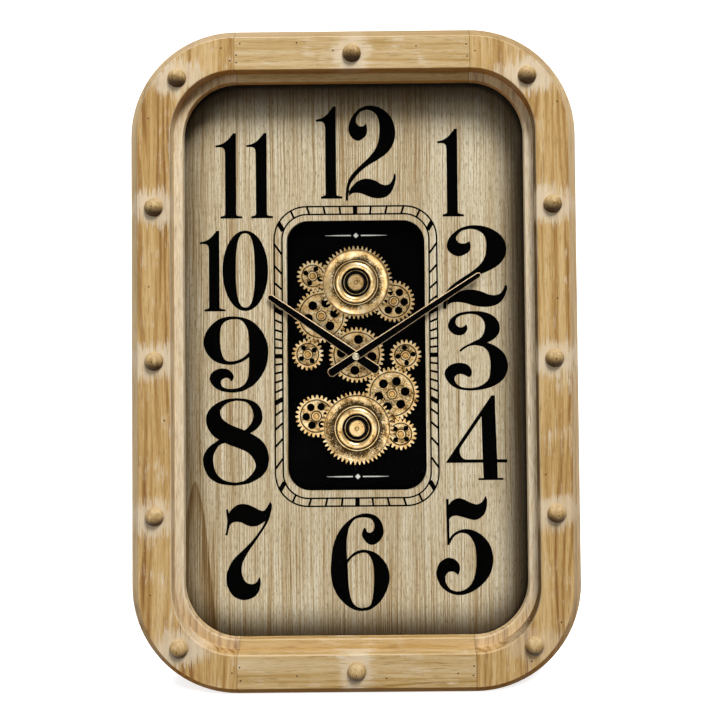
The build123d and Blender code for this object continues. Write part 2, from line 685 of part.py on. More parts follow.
save(frame_length(BOTTOM_RUNS, BOTTOM_BUTTONS, BOTTOM_SCREWS), "bottom_rail")

DOME_RISE = BUTTON_HEIGHT - BUTTON_EDGE
DOME_RADIUS = (BUTTON_RADIUS**2 + DOME_RISE**2) / (2 * DOME_RISE)
DOME_MIDDLE = BUTTON_HEIGHT - DOME_RADIUS
DOME_ANGLE = atan2(BUTTON_RADIUS, BUTTON_EDGE - DOME_MIDDLE) / 2
with BuildPart() as frame_buttons:
    for x, z in LEFT_BUTTONS + RIGHT_BUTTONS + TOP_BUTTONS + BOTTOM_BUTTONS:
        with BuildSketch(section(0, x, z)):
            with BuildLine():
                stem = Polyline(
                    (0, BUTTON_HEIGHT),
                    (0, -TENON_LENGTH),
                    (TENON_RADIUS, -TENON_LENGTH),
                    (TENON_RADIUS, 0),
                    (BUTTON_RADIUS, 0),
                    (BUTTON_RADIUS, BUTTON_EDGE),
                )
                ThreePointArc(
                    stem @ 1,
                    (DOME_RADIUS * sin(DOME_ANGLE), DOME_MIDDLE + DOME_RADIUS * cos(DOME_ANGLE)),
                    (0, BUTTON_HEIGHT),
                )
            make_face()
        revolve(axis=axle(x, z), revolution_arc=360)
save(frame_buttons, "frame_buttons")

# Glass, dial and what holds them
INNER = WALL_THICKNESS + PANEL_GAP
with BuildPart() as glass_pane:
    with BuildSketch(front(GLASS_BACK)):
        outline(INNER)
    extrude(amount=GLASS_THICKNESS)
save(glass_pane, "glass_pane")
save(ring(GLASS_BACK, DIAL_FRONT, INNER, INNER + SPACER_WIDTH), "glass_spacer")

with BuildPart() as dial_panel:
    with BuildSketch(front(DIAL_BACK)):
        outline(INNER)
        RectangleRounded(WINDOW_WIDTH, WINDOW_HEIGHT, WINDOW_RADIUS, mode=Mode.SUBTRACT)
    extrude(amount=DIAL_THICKNESS)
save(dial_panel, "dial_panel")

STRIP_BACK = DIAL_BACK + STRIP_SIZE
STRIP_X = HALF_WIDTH - WALL_THICKNESS - STRIP_SIZE / 2
STRIP_Z = HALF_HEIGHT - WALL_THICKNESS - STRIP_SIZE / 2
STRIP_TALL = STILE - 2 * STRIP_END_GAP
STRIP_WIDE = RAIL - 2 * STRIP_END_GAP
save(strip(DIAL_BACK, STRIP_BACK, STRIP_SIZE, STRIP_TALL, -STRIP_X), "dial_strip_left")
save(strip(DIAL_BACK, STRIP_BACK, STRIP_SIZE, STRIP_TALL, STRIP_X), "dial_strip_right")
save(strip(DIAL_BACK, STRIP_BACK, STRIP_WIDE, STRIP_SIZE, 0.0, STRIP_Z), "dial_strip_top")
save(strip(DIAL_BACK, STRIP_BACK, STRIP_WIDE, STRIP_SIZE, 0.0, -STRIP_Z), "dial_strip_bottom")

with BuildPart() as window_liner:
    with BuildSketch(front(PLATE_FRONT)):
        RectangleRounded(PLATE_WIDTH, PLATE_HEIGHT, PLATE_RADIUS)
        RectangleRounded(OPENING_WIDTH, OPENING_HEIGHT, OPENING_RADIUS, mode=Mode.SUBTRACT)
    extrude(amount=LINER_DEPTH)
    bore(PLATE_SCREW_TIP, PLATE_FRONT, SCREW_RADIUS, PLATE_SCREWS)
save(window_liner, "window_liner")

with BuildPart() as gear_plate:
    with BuildSketch(front(PLATE_BACK)):
        RectangleRounded(PLATE_WIDTH, PLATE_HEIGHT, PLATE_RADIUS)
    extrude(amount=PLATE_THICKNESS)
    bore(PLATE_FRONT, PLATE_BACK, SCREW_RADIUS + RUN_FIT, PLATE_SCREWS)
    bore(PLATE_FRONT, PLATE_BACK, STUD_RADIUS, STUDS)
    bore(PLATE_FRONT, PLATE_BACK, AXLE_RADIUS, [UPPER_AXLE])
    bore(PLATE_FRONT, PLATE_BACK, AXLE_RADIUS + RUN_FIT, [LOWER_AXLE])
    bore(PLATE_FRONT, PLATE_BACK, BUSH_RADIUS + RUN_FIT, [(0, 0)])
    bore(PLATE_FRONT, PLATE_BACK, SCREW_RADIUS, MOTOR_SCREWS)
save(gear_plate, "gear_plate")

with BuildPart() as gear_plate_screws:
    pegs(PLATE_SCREW_TIP, PLATE_BACK, SCREW_RADIUS, PLATE_SCREWS)
    pegs(PLATE_BACK, PLATE_BACK + SCREW_HEAD_HEIGHT, SCREW_HEAD_RADIUS, PLATE_SCREWS)
save(gear_plate_screws, "gear_plate_screws")

# Gear train
for name, (gear, holes, hole_radius) in STUD_GEARS.items():
    save(spur_gear(name, gear, holes, hole_radius, BOSS_RADIUS, STUD_RADIUS), name)
centre_gear = spur_gear(
    "centre_gear", CENTRE, CENTRE_HOLE_COUNT, CENTRE_HOLE_RADIUS, CENTRE_BOSS_RADIUS, BUSH_RADIUS
)
save(centre_gear, "centre_gear")
save(driver_gear(UPPER_DRIVER, AXLE_RADIUS + RUN_FIT), "upper_driver")
save(driver_gear(LOWER_DRIVER, AXLE_RADIUS), "lower_driver")
save(dished_wheel(*UPPER_AXLE, AXLE_RADIUS + RUN_FIT), "upper_wheel")
save(dished_wheel(*LOWER_AXLE, AXLE_RADIUS), "lower_wheel")
save(wheel_cap(*UPPER_AXLE), "upper_wheel_cap")
save(wheel_cap(*LOWER_AXLE), "lower_wheel_cap")

with BuildPart() as gear_studs:
    pegs(STUD_HEAD_BACK, PLATE_BACK, STUD_RADIUS, STUDS)
    pegs(STUD_HEAD_BACK - STUD_HEAD_HEIGHT, STUD_HEAD_BACK, STUD_HEAD_RADIUS, STUDS)
save(gear_studs, "gear_studs")

with BuildPart() as gear_washers:
    pegs(PLATE_FRONT - WASHER_HEIGHT, PLATE_FRONT, WASHER_RADIUS, STUDS)
    bore(PLATE_FRONT - WASHER_HEIGHT, PLATE_FRONT, STUD_RADIUS + RUN_FIT, STUDS)
save(gear_washers, "gear_washers")

with BuildPart() as upper_wheel_stud:
    pegs(AXLE_FRONT, PLATE_BACK, AXLE_RADIUS, [UPPER_AXLE])
    pegs(PLATE_FRONT - WASHER_HEIGHT, PLATE_FRONT, AXLE_COLLAR_RADIUS, [UPPER_AXLE])
save(upper_wheel_stud, "upper_wheel_stud")

with BuildPart() as motor_shaft:
    pegs(AXLE_FRONT, MOTOR_BEARING, AXLE_RADIUS, [LOWER_AXLE])
save(motor_shaft, "motor_shaft")

# Hands and their arbors
with BuildPart() as movement_bush:
    disc(BUSH_FRONT, PLATE_BACK, BUSH_RADIUS, hole=SLEEVE_RADIUS + RUN_FIT)
save(movement_bush, "movement_bush")

with BuildPart() as mounting_nut:
    with BuildSketch(front(PLATE_FRONT)):
        RegularPolygon(BUSH_RADIUS + NUT_RIM, 6)
        Circle(BUSH_RADIUS, mode=Mode.SUBTRACT)
    extrude(amount=PLATE_FRONT - NUT_FRONT)
save(mounting_nut, "mounting_nut")

with BuildPart() as bush_collar:
    disc(COLLAR_FRONT, COLLAR_BACK, BUSH_RADIUS + COLLAR_RIM, hole=BUSH_RADIUS)
save(bush_collar, "bush_collar")

with BuildPart() as hour_sleeve:
    disc(HOUR_FRONT, SLEEVE_BACK, SLEEVE_RADIUS, hole=ARBOR_RADIUS + RUN_FIT)
save(hour_sleeve, "hour_sleeve")

with BuildPart() as minute_arbor:
    disc(MINUTE_FRONT - HAND_CAP_BITE, ARBOR_BACK, ARBOR_RADIUS)
save(minute_arbor, "minute_arbor")

HOUR = HandShape(
    HOUR_LENGTH, HOUR_TAIL, HOUR_WIDTH, HOUR_TIP_WIDTH, HOUR_HUB_RADIUS, HOUR_HUB_LENGTH
)
MINUTE = HandShape(
    MINUTE_LENGTH, MINUTE_TAIL, MINUTE_WIDTH, MINUTE_TIP_WIDTH, MINUTE_HUB_RADIUS, MINUTE_HUB_LENGTH
)
save(hand(HOUR_FRONT, 1, HOUR, SLEEVE_RADIUS), "hour_hand")
save(hand(MINUTE_FRONT, 12, MINUTE, ARBOR_RADIUS), "minute_hand")

with BuildPart() as hand_cap:
    disc(MINUTE_FRONT - HAND_CAP_HEIGHT, MINUTE_FRONT, HAND_CAP_RADIUS)
    fillet(hand_cap.faces().sort_by(Axis.Y)[0].edges(), HAND_CAP_ROUND)
    bore(MINUTE_FRONT - HAND_CAP_BITE, MINUTE_FRONT, ARBOR_RADIUS, [(0, 0)])
save(hand_cap, "hand_cap")

# Drives
with BuildPart() as movement_case:
    drive_case(MOVEMENT_SIZE, MOVEMENT_SIZE, 0.0, 0.0, MOVEMENT_BAY_Z)
    bore(PLATE_BACK, ARBOR_BACK + ARBOR_ROOM, SLEEVE_RADIUS + RUN_FIT, [(0, 0)])
    bore(KNOB_SEAT, CASE_BACK, KNOB_RADIUS + KNOB_GAP, [(0, KNOB_RISE)])
    bore(SPINDLE_FRONT - END_FLOAT, CASE_BACK, SPINDLE_RADIUS + RUN_FIT, [(0, KNOB_RISE)])
save(movement_case, "movement_case")

with BuildPart() as setting_knob:
    pegs(KNOB_FRONT, KNOB_BACK, KNOB_RADIUS, [(0, KNOB_RISE)])
    with BuildSketch(front(KNOB_BACK, 0.0, KNOB_RISE)):
        with PolarLocations(KNOB_RADIUS + FLUTE_OFFSET, KNOB_FLUTE_COUNT):
            Circle(FLUTE_RADIUS)
    extrude(amount=KNOB_BACK - KNOB_FRONT, mode=Mode.SUBTRACT)
    pegs(SPINDLE_FRONT, KNOB_FRONT, SPINDLE_RADIUS, [(0, KNOB_RISE)])
save(setting_knob, "setting_knob")

with BuildPart() as motor_case:
    with BuildSketch(front(LUG_BACK, 0.0, MOTOR_Z)):
        Rectangle(MOTOR_WIDTH + 2 * LUG_LENGTH, LUG_HEIGHT)
    extrude(amount=LUG_THICKNESS)
    drive_case(MOTOR_WIDTH, MOTOR_HEIGHT, 0.0, MOTOR_Z, MOTOR_BAY_Z)
    bore(PLATE_BACK, MOTOR_BEARING + END_FLOAT, AXLE_RADIUS + RUN_FIT, [LOWER_AXLE])
    bore(PLATE_BACK, LUG_BACK, SCREW_RADIUS + RUN_FIT, MOTOR_SCREWS)
save(motor_case, "motor_case")

with BuildPart() as motor_screws:
    pegs(PLATE_FRONT, LUG_BACK, SCREW_RADIUS, MOTOR_SCREWS)
    pegs(LUG_BACK, LUG_BACK + SCREW_HEAD_HEIGHT, SCREW_HEAD_RADIUS, MOTOR_SCREWS)
save(motor_screws, "motor_screws")

save(battery(0.0, MOVEMENT_BAY_Z), "movement_battery")
save(battery(0.0, MOTOR_BAY_Z), "motor_battery")

# Back panel and hangers
with BuildPart() as back_panel:
    with BuildSketch(front(PANEL_BACK)):
        outline(WALL_THICKNESS - RABBET_WIDTH + PANEL_GAP)
        Rectangle(MOVEMENT_SIZE + 2 * CASE_GAP, MOVEMENT_SIZE + 2 * CASE_GAP, mode=Mode.SUBTRACT)
        with Locations((0, MOTOR_Z)):
            Rectangle(MOTOR_WIDTH + 2 * CASE_GAP, MOTOR_HEIGHT + 2 * CASE_GAP, mode=Mode.SUBTRACT)
        with Locations(*KEYHOLES):
            room = 2 * (KEYHOLE_RADIUS + KEYHOLE_ROOM)
            SlotCenterToCenter(KEYHOLE_RISE, room, rotation=90, mode=Mode.SUBTRACT)
    extrude(amount=PANEL_THICKNESS)
    bore(PANEL_FRONT, PANEL_BACK, SCREW_RADIUS + RUN_FIT, PANEL_SCREWS)
    bore(PANEL_FRONT, PANEL_BACK, SCREW_RADIUS, HANGER_SCREWS)
save(back_panel, "back_panel")

with BuildPart() as back_panel_screws:
    pegs(SCREW_TIP, PANEL_BACK, SCREW_RADIUS, PANEL_SCREWS)
    pegs(PANEL_BACK, PANEL_BACK + SCREW_HEAD_HEIGHT, SCREW_HEAD_RADIUS, PANEL_SCREWS)
save(back_panel_screws, "back_panel_screws")

with BuildPart() as hanger_plates:
    for x, z in HANGERS:
        with BuildSketch(front(FRAME_DEPTH, x, z)):
            RectangleRounded(HANGER_WIDTH, HANGER_HEIGHT, HANGER_ROUND)
            with Locations((0, -KEYHOLE_DROP)):
                Circle(KEYHOLE_RADIUS, mode=Mode.SUBTRACT)
            with Locations((0, KEYHOLE_RISE / 2 - KEYHOLE_DROP)):
                SlotCenterToCenter(KEYHOLE_RISE, 2 * KEYHOLE_SLOT, rotation=90, mode=Mode.SUBTRACT)
            with Locations((0, -HANGER_SCREW_RISE), (0, HANGER_SCREW_RISE)):
                Circle(SCREW_HEAD_RADIUS, mode=Mode.SUBTRACT)
        extrude(amount=HANGER_THICKNESS)
save(hanger_plates, "hanger_plates")

with BuildPart() as hanger_screws:
    pegs(PANEL_FRONT, PANEL_BACK, SCREW_RADIUS, HANGER_SCREWS)
    pegs(PANEL_BACK, PANEL_BACK + SCREW_HEAD_HEIGHT, SCREW_HEAD_RADIUS, HANGER_SCREWS)
save(hanger_screws, "hanger_screws")
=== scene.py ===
"""Wooden gear clock: its printed dial, finishes, studio and camera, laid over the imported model."""

import json
import math
from functools import partial

import bmesh
import bpy
import numpy as np
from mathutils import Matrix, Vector


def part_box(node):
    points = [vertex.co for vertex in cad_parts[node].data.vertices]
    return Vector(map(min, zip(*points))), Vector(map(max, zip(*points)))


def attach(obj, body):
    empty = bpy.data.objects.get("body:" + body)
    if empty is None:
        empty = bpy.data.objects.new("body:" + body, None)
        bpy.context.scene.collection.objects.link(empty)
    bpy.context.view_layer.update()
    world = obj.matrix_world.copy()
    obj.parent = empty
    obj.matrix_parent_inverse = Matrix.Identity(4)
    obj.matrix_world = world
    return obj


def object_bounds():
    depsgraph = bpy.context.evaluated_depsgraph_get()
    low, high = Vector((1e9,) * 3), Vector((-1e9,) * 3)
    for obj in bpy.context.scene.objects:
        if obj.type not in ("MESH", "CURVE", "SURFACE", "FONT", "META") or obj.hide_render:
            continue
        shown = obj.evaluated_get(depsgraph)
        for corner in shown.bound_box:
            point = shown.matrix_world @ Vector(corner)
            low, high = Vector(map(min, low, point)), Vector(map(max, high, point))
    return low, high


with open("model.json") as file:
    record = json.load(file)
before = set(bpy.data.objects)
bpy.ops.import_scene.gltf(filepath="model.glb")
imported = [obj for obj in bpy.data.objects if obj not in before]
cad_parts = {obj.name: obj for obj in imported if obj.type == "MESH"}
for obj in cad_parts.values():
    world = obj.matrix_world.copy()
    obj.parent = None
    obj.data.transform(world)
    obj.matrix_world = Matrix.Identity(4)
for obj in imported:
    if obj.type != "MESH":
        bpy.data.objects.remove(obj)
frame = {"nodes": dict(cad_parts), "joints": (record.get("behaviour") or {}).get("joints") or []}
cad_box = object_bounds()
scene = bpy.context.scene

MM = 0.001
BODY = "clock_body"
HALF_WIDTH = 0.230
MIDDLE = 0.340
FRAME_FACE = -0.03475
BUTTON_APEX = cad_box[0][1]
DIAL_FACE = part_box("dial_panel")[0][1]
PLATE_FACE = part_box("gear_plate")[0][1]

# Numerals, drawn in strokes on grids of their own, x to the right and y downwards.
# The extent of each digit on its grid: left, right, top, bottom.
NUMERAL_GRID = {
    "0": (480, 1285, 65, 1500),
    "1": (70, 525, 70, 1475),
    "2": (497, 1235, 97, 1475),
    "3": (90, 1220, 88, 1505),
    "4": (90, 1165, 40, 1500),
    "5": (60, 885, 70, 1500),
    "6": (110, 965, 75, 1500),
    "7": (145, 872, 20, 1505),
    "8": (100, 1160, 90, 1490),
    "9": (70, 1270, 105, 1520),
}
# The strokes of each digit, as rows of places along them, each with its two edges: (x, y, x, y).
# "soft" strokes run smoothly through their places, "ruled" ones go straight from place to place.
NUMERAL_STROKES = [
    ("1", "soft", [
        (75, 270, 75, 300), (180, 245, 180, 303), (270, 190, 225, 340), (330, 125, 235, 385), (375, 70, 300, 420),
    ]),
    ("1", "ruled", [(375, 70, 300, 420), (422, 70, 422, 420)]),
    ("1", "ruled", [(235, 384, 422, 384), (235, 1405, 422, 1405)]),
    ("1", "soft", [(235, 1395, 422, 1395), (222, 1425, 438, 1428), (155, 1444, 525, 1444)]),
    ("1", "ruled", [(155, 1442, 525, 1442), (155, 1475, 525, 1475)]),
    ("2", "soft", [
        (815, 385, 806, 357), (820, 460, 775, 386), (795, 540, 742, 397), (700, 606, 705, 392), (620, 580, 680, 372),
        (565, 510, 664, 345), (548, 430, 657, 312), (570, 320, 668, 262), (625, 225, 715, 195), (720, 135, 770, 168),
        (850, 97, 825, 158), (1000, 125, 900, 182), (1120, 210, 965, 245), (1195, 320, 993, 340),
        (1228, 470, 998, 470), (1215, 600, 980, 620), (1165, 715, 925, 745), (1085, 805, 840, 850),
        (960, 890, 750, 935), (830, 965, 670, 1010), (710, 1060, 595, 1090), (620, 1160, 540, 1180),
        (570, 1240, 512, 1290), (545, 1340, 500, 1410), (535, 1472, 503, 1472),
    ]),
    ("2", "soft", [
        (545, 1335, 545, 1410), (600, 1262, 590, 1372), (680, 1190, 655, 1358), (800, 1155, 745, 1375),
        (920, 1180, 850, 1420), (1020, 1237, 960, 1442), (1090, 1250, 1065, 1428), (1150, 1225, 1140, 1380),
        (1185, 1165, 1195, 1290), (1205, 1095, 1230, 1160), (1215, 1087, 1228, 1098),
    ]),
    ("3", "soft", [
        (500, 350, 482, 324), (502, 420, 445, 358), (440, 500, 405, 377), (350, 520, 370, 378), (250, 490, 335, 360),
        (180, 420, 305, 325), (160, 340, 290, 280), (190, 250, 308, 225), (260, 180, 360, 180), (380, 115, 450, 152),
        (600, 88, 560, 140), (800, 105, 680, 160), (960, 170, 770, 225), (1060, 280, 815, 320), (1085, 400, 810, 430),
        (1060, 500, 770, 530), (980, 590, 690, 600), (860, 655, 570, 660),
    ]),
    ("3", "soft", [
        (690, 596, 760, 722), (570, 655, 640, 697), (440, 720, 530, 717), (375, 770, 440, 767), (352, 800, 385, 812),
    ]),
    ("3", "soft", [
        (690, 620, 640, 695), (860, 655, 760, 720), (1010, 720, 850, 790), (1140, 830, 890, 880),
        (1205, 960, 908, 1000), (1220, 1120, 905, 1150), (1150, 1290, 880, 1290), (1000, 1410, 800, 1380),
        (800, 1480, 680, 1440), (560, 1505, 540, 1460), (350, 1480, 400, 1445), (210, 1410, 310, 1390),
        (120, 1300, 265, 1310), (90, 1210, 280, 1250), (110, 1130, 315, 1222), (200, 1045, 355, 1208),
        (340, 1010, 400, 1212), (470, 1030, 450, 1230), (545, 1090, 490, 1252), (577, 1170, 520, 1264),
        (568, 1230, 545, 1262),
    ]),
    ("4", "ruled", [(900, 45, 960, 45), (646, 405, 965, 405)]),
    ("4", "ruled", [(646, 403, 722, 403), (294, 905, 370, 905)]),
    ("4", "soft", [
        (294, 904, 370, 904), (240, 980, 338, 968), (185, 1060, 345, 1060), (125, 1145, 400, 1130),
        (90, 1200, 480, 1148),
    ]),
    ("4", "ruled", [(720, 400, 965, 400), (735, 1140, 988, 1140), (750, 1470, 995, 1470)]),
    ("4", "ruled", [(128, 1145, 90, 1200), (1162, 1145, 1162, 1200)]),
    ("4", "ruled", [(655, 1465, 655, 1500), (1092, 1465, 1092, 1500)]),
    ("5", "ruled", [(215, 112, 252, 112), (219, 450, 258, 450), (226, 778, 260, 778)]),
    ("5", "soft", [
        (250, 200, 250, 420), (300, 140, 285, 375), (390, 103, 350, 355), (470, 120, 430, 370), (560, 165, 530, 400),
        (650, 192, 620, 420), (720, 170, 690, 400), (765, 110, 760, 340), (780, 80, 800, 240), (787, 70, 808, 130),
    ]),
    ("5", "soft", [
        (225, 760, 262, 762), (258, 685, 300, 690), (320, 610, 345, 640), (420, 560, 400, 610), (510, 550, 450, 605),
        (620, 575, 520, 625), (740, 650, 580, 690), (840, 780, 625, 800), (885, 950, 640, 960),
        (870, 1110, 635, 1120), (810, 1250, 600, 1270), (700, 1370, 540, 1370), (560, 1460, 450, 1430),
        (400, 1500, 350, 1445), (250, 1465, 260, 1410), (130, 1370, 205, 1330), (70, 1240, 195, 1270),
        (65, 1160, 200, 1220), (100, 1050, 215, 1190), (170, 985, 245, 1165), (250, 960, 275, 1160),
        (340, 990, 310, 1163), (395, 1060, 340, 1178), (407, 1120, 362, 1200), (388, 1197, 373, 1208),
    ]),
    ("6", "soft", [
        (590, 300, 608, 281), (566, 385, 628, 304), (600, 460, 635, 330), (650, 515, 652, 350), (710, 537, 680, 360),
        (790, 510, 712, 348), (860, 430, 740, 310), (885, 330, 750, 260), (850, 200, 735, 200), (770, 110, 690, 152),
        (640, 75, 595, 135), (520, 95, 490, 150), (400, 160, 425, 205), (290, 260, 375, 300), (200, 400, 352, 420),
        (140, 580, 345, 560), (115, 780, 350, 740), (110, 950, 360, 930), (135, 1110, 368, 1100),
        (200, 1260, 385, 1240), (310, 1390, 415, 1350), (440, 1475, 480, 1430), (555, 1500, 562, 1455),
    ]),
    ("6", "soft", [
        (548, 1500, 558, 1455), (680, 1475, 660, 1430), (800, 1390, 700, 1370), (890, 1270, 722, 1250),
        (950, 1120, 735, 1120), (965, 1000, 738, 1000), (940, 860, 730, 850), (870, 750, 700, 740),
        (760, 650, 645, 662), (600, 605, 570, 650), (480, 630, 480, 680), (400, 690, 400, 740), (350, 745, 355, 815),
    ]),
    ("7", "soft", [
        (162, 130, 192, 125), (172, 230, 205, 190), (180, 300, 215, 300), (172, 400, 205, 410), (160, 470, 195, 470),
        (148, 520, 187, 522),
    ]),
    ("7", "soft", [
        (195, 200, 195, 460), (230, 150, 215, 390), (290, 90, 250, 338), (350, 57, 320, 318), (420, 45, 400, 330),
        (510, 60, 480, 370), (600, 100, 560, 390), (690, 145, 650, 380), (750, 150, 720, 340), (800, 90, 785, 290),
        (840, 25, 860, 160), (850, 20, 872, 60),
    ]),
    ("7", "soft", [
        (785, 270, 860, 160), (768, 310, 830, 270), (720, 400, 770, 390), (650, 500, 690, 510), (560, 610, 600, 640),
        (440, 730, 520, 750), (330, 830, 450, 870), (250, 920, 410, 960), (190, 1040, 398, 1050),
        (165, 1130, 408, 1120), (170, 1260, 435, 1195), (220, 1380, 475, 1240), (300, 1465, 515, 1258),
        (430, 1505, 555, 1265), (560, 1475, 600, 1255), (640, 1410, 628, 1232), (680, 1320, 650, 1200),
        (690, 1230, 665, 1170), (688, 1200, 677, 1163),
    ]),
    ("8", "soft", [
        (640, 90, 640, 130), (450, 115, 500, 170), (270, 210, 400, 260), (175, 330, 385, 330), (155, 440, 420, 420),
        (180, 560, 520, 500), (260, 680, 640, 555), (360, 755, 770, 605), (440, 795, 860, 650), (530, 840, 1020, 750),
        (640, 880, 1120, 880), (790, 945, 1160, 1040), (880, 1020, 1155, 1120), (935, 1120, 1140, 1200),
        (940, 1210, 1090, 1290), (870, 1320, 1020, 1360), (760, 1410, 830, 1455), (630, 1440, 600, 1490),
    ]),
    ("8", "soft", [
        (635, 90, 635, 130), (820, 110, 790, 155), (950, 165, 870, 230), (1030, 260, 910, 330), (1060, 390, 910, 410),
        (1040, 490, 860, 520), (960, 590, 770, 605), (860, 655, 700, 620),
    ]),
    ("8", "soft", [
        (360, 755, 460, 805), (320, 780, 400, 825), (200, 870, 350, 860), (120, 990, 280, 980),
        (105, 1090, 268, 1100), (130, 1220, 300, 1250), (210, 1360, 370, 1350), (370, 1455, 480, 1415),
        (605, 1490, 635, 1440),
    ]),
    ("9", "soft", [
        (615, 105, 635, 160), (800, 130, 720, 165), (1000, 220, 790, 200), (1160, 400, 860, 290),
        (1250, 600, 900, 420), (1270, 780, 910, 600), (1240, 1000, 910, 870), (1150, 1200, 908, 1050),
        (1010, 1370, 900, 1180), (900, 1440, 880, 1270), (800, 1490, 820, 1370), (700, 1510, 720, 1430),
        (590, 1520, 590, 1450), (400, 1490, 480, 1440), (260, 1410, 410, 1400), (190, 1310, 385, 1340),
        (180, 1240, 395, 1300), (220, 1150, 425, 1268), (310, 1090, 465, 1248), (410, 1070, 500, 1247),
        (520, 1090, 535, 1258), (600, 1160, 558, 1280), (627, 1230, 572, 1305), (605, 1297, 584, 1312),
    ]),
    ("9", "soft", [
        (625, 105, 645, 160), (500, 115, 560, 168), (360, 155, 480, 200), (220, 260, 410, 270), (120, 390, 380, 390),
        (75, 520, 375, 560), (75, 650, 385, 690), (130, 790, 410, 800), (250, 920, 445, 885), (400, 985, 500, 930),
        (580, 1005, 590, 940), (720, 975, 700, 920), (820, 930, 820, 860), (912, 868, 912, 770),
    ]),
]
# The nought's outer and inner edge: centre, reach sideways and upwards, and squareness, which is 2 for an ellipse.
NOUGHT_EDGES = (((882, 782), (402, 717), 2.0), ((882, 775), (167, 660), 2.6))
# The hours: digit, and the box it fills on the dial in mm from the centre (left, right, top, bottom).
HOURS = {
    1: [("1", 89.3, 117.6, 244.6, 149.3)],
    2: [("2", 93.9, 163.8, 139.6, 49.0)],
    3: [("3", 95.0, 163.2, 46.8, -38.7)],
    4: [("4", 95.2, 161.5, -43.8, -134.8)],
    5: [("5", 83.6, 145.0, -151.5, -257.2)],
    6: [("6", -29.3, 33.7, -169.2, -273.4)],
    7: [("7", -142.6, -92.0, -156.2, -260.5)],
    8: [("8", -166.2, -94.8, -44.6, -138.6)],
    9: [("9", -164.7, -94.9, 43.5, -38.7)],
    10: [("1", -168.8, -141.0, 136.1, 49.0), ("0", -144.0, -94.6, 136.1, 49.0)],
    11: [("1", -151.3, -122.1, 241.9, 149.3), ("1", -117.8, -89.0, 241.9, 149.3)],
    12: [("1", -42.2, -13.8, 270.1, 169.8), ("2", -10.4, 44.7, 270.7, 167.2)],
}
# Films of ink, in mm: the gap behind them, their thickness, and the step between strokes that cross.
INK_GAP = 0.03
INK_THICKNESS = 0.06
INK_STEP = 0.012
# The minute track round the window, in mm: width, height and corner radius of its two lines, and widths of its marks.
TRACK_OUTER = (177.5, 324.3, 36.0)
TRACK_INNER = (160.7, 307.3, 28.0)
TRACK_LINE = 1.7
MINUTE_TICK = 2.2
HOUR_TICK = 4.9
# The ornament on the black plate, in mm from its centre: places along a rule with its half widths there.
RULE_HEIGHTS = (130.5, -133.0)
RULE_PLACES = (5.5, 20.0, 34.0)
RULE_HALVES = (0.65, 0.55, 0.12)
LOZENGE = 3.0


def smooth_edge(places, steps=10):
    """Edge of a drawn stroke: on each span a cubic through its two ends, leaning to the places beside them."""
    run = np.vstack([2 * places[0] - places[1], places, 2 * places[-1] - places[-2]])
    t = np.linspace(0, len(places) - 1, (len(places) - 1) * steps + 1)
    i = np.minimum(t.astype(int), len(places) - 2)
    f = (t - i)[:, None]
    a, b, c, d = run[i], run[i + 1], run[i + 2], run[i + 3]
    return 0.5 * (2 * b + (c - a) * f + (2 * a - 5 * b + 4 * c - d) * f**2 + (3 * b - a - 3 * c + d) * f**3)


def printed_stroke(kind, places):
    """Flat stroke as a ruled surface: each point is a share s of the way from one edge curve to the other."""
    places = np.array(places, float)
    first, second = places[:, :2], places[:, 2:]
    if kind == "soft":
        first, second = smooth_edge(first), smooth_edge(second)
    return np.stack([first, second], axis=1)


def printed_nought():
    """Ring of a nought: a share s from an ellipse outside to a squarer oval inside, each its reach times the cosine
    and sine of the angle, raised to 2 over its squareness."""
    a = np.linspace(0, 2 * math.pi, 97)
    turn = np.stack([np.cos(a), np.sin(a)], axis=1)
    edges = []
    for centre, reach, squareness in NOUGHT_EDGES:
        edges.append(np.array(centre) + np.array(reach) * np.sign(turn) * np.abs(turn) ** (2 / squareness))
    return np.stack(edges, axis=1)


def fit_to_dial(grid, drawn, box):
    """Moves a stroke from its drawing grid to its box on the dial, in mm, by two straight scalings."""
    left, right, top, bottom = drawn
    x0, x1, z1, z0 = box
    x = x0 + (grid[..., 0] - left) / (right - left) * (x1 - x0)
    z = z1 + (grid[..., 1] - top) / (bottom - top) * (z0 - z1)
    return np.stack([x, z], axis=-1)


def rounded_outline(width, height, radius, steps=14):
    """Rounded rectangle about the dial centre: four quarter circles in turn, joined by the straight sides."""
    a = np.linspace(0, math.pi / 2, steps)
    turn = np.concatenate([a + k * math.pi / 2 for k in range(4)])
    side = np.repeat([[1, 1], [-1, 1], [-1, -1], [1, -1]], steps, axis=0)
    reach = np.array([width / 2 - radius, height / 2 - radius])
    points = side * reach + radius * np.stack([np.cos(turn), np.sin(turn)], axis=1)
    return np.vstack([points, points[:1]])


def track_line(size):
    """Printed line round the window: a share s from a rounded rectangle to the same one set in by the line."""
    width, height, radius = size
    inside = rounded_outline(width - 2 * TRACK_LINE, height - 2 * TRACK_LINE, radius - TRACK_LINE)
    return np.stack([rounded_outline(width, height, radius), inside], axis=1)


def track_reach(bearing, size):
    """Distance from the centre to a rounded rectangle on each bearing: to its side, or to its corner arc."""
    width, height, radius = size
    s, c = np.abs(np.sin(bearing)), np.abs(np.cos(bearing))
    side = np.minimum(width / 2 / np.maximum(s, 1e-9), height / 2 / np.maximum(c, 1e-9))
    x, z = width / 2 - radius, height / 2 - radius
    along = s * x + c * z
    arc = along + np.sqrt(np.maximum(radius**2 - x**2 - z**2 + along**2, 0.0))
    return np.where((side * s > x) & (side * c > z), arc, side)


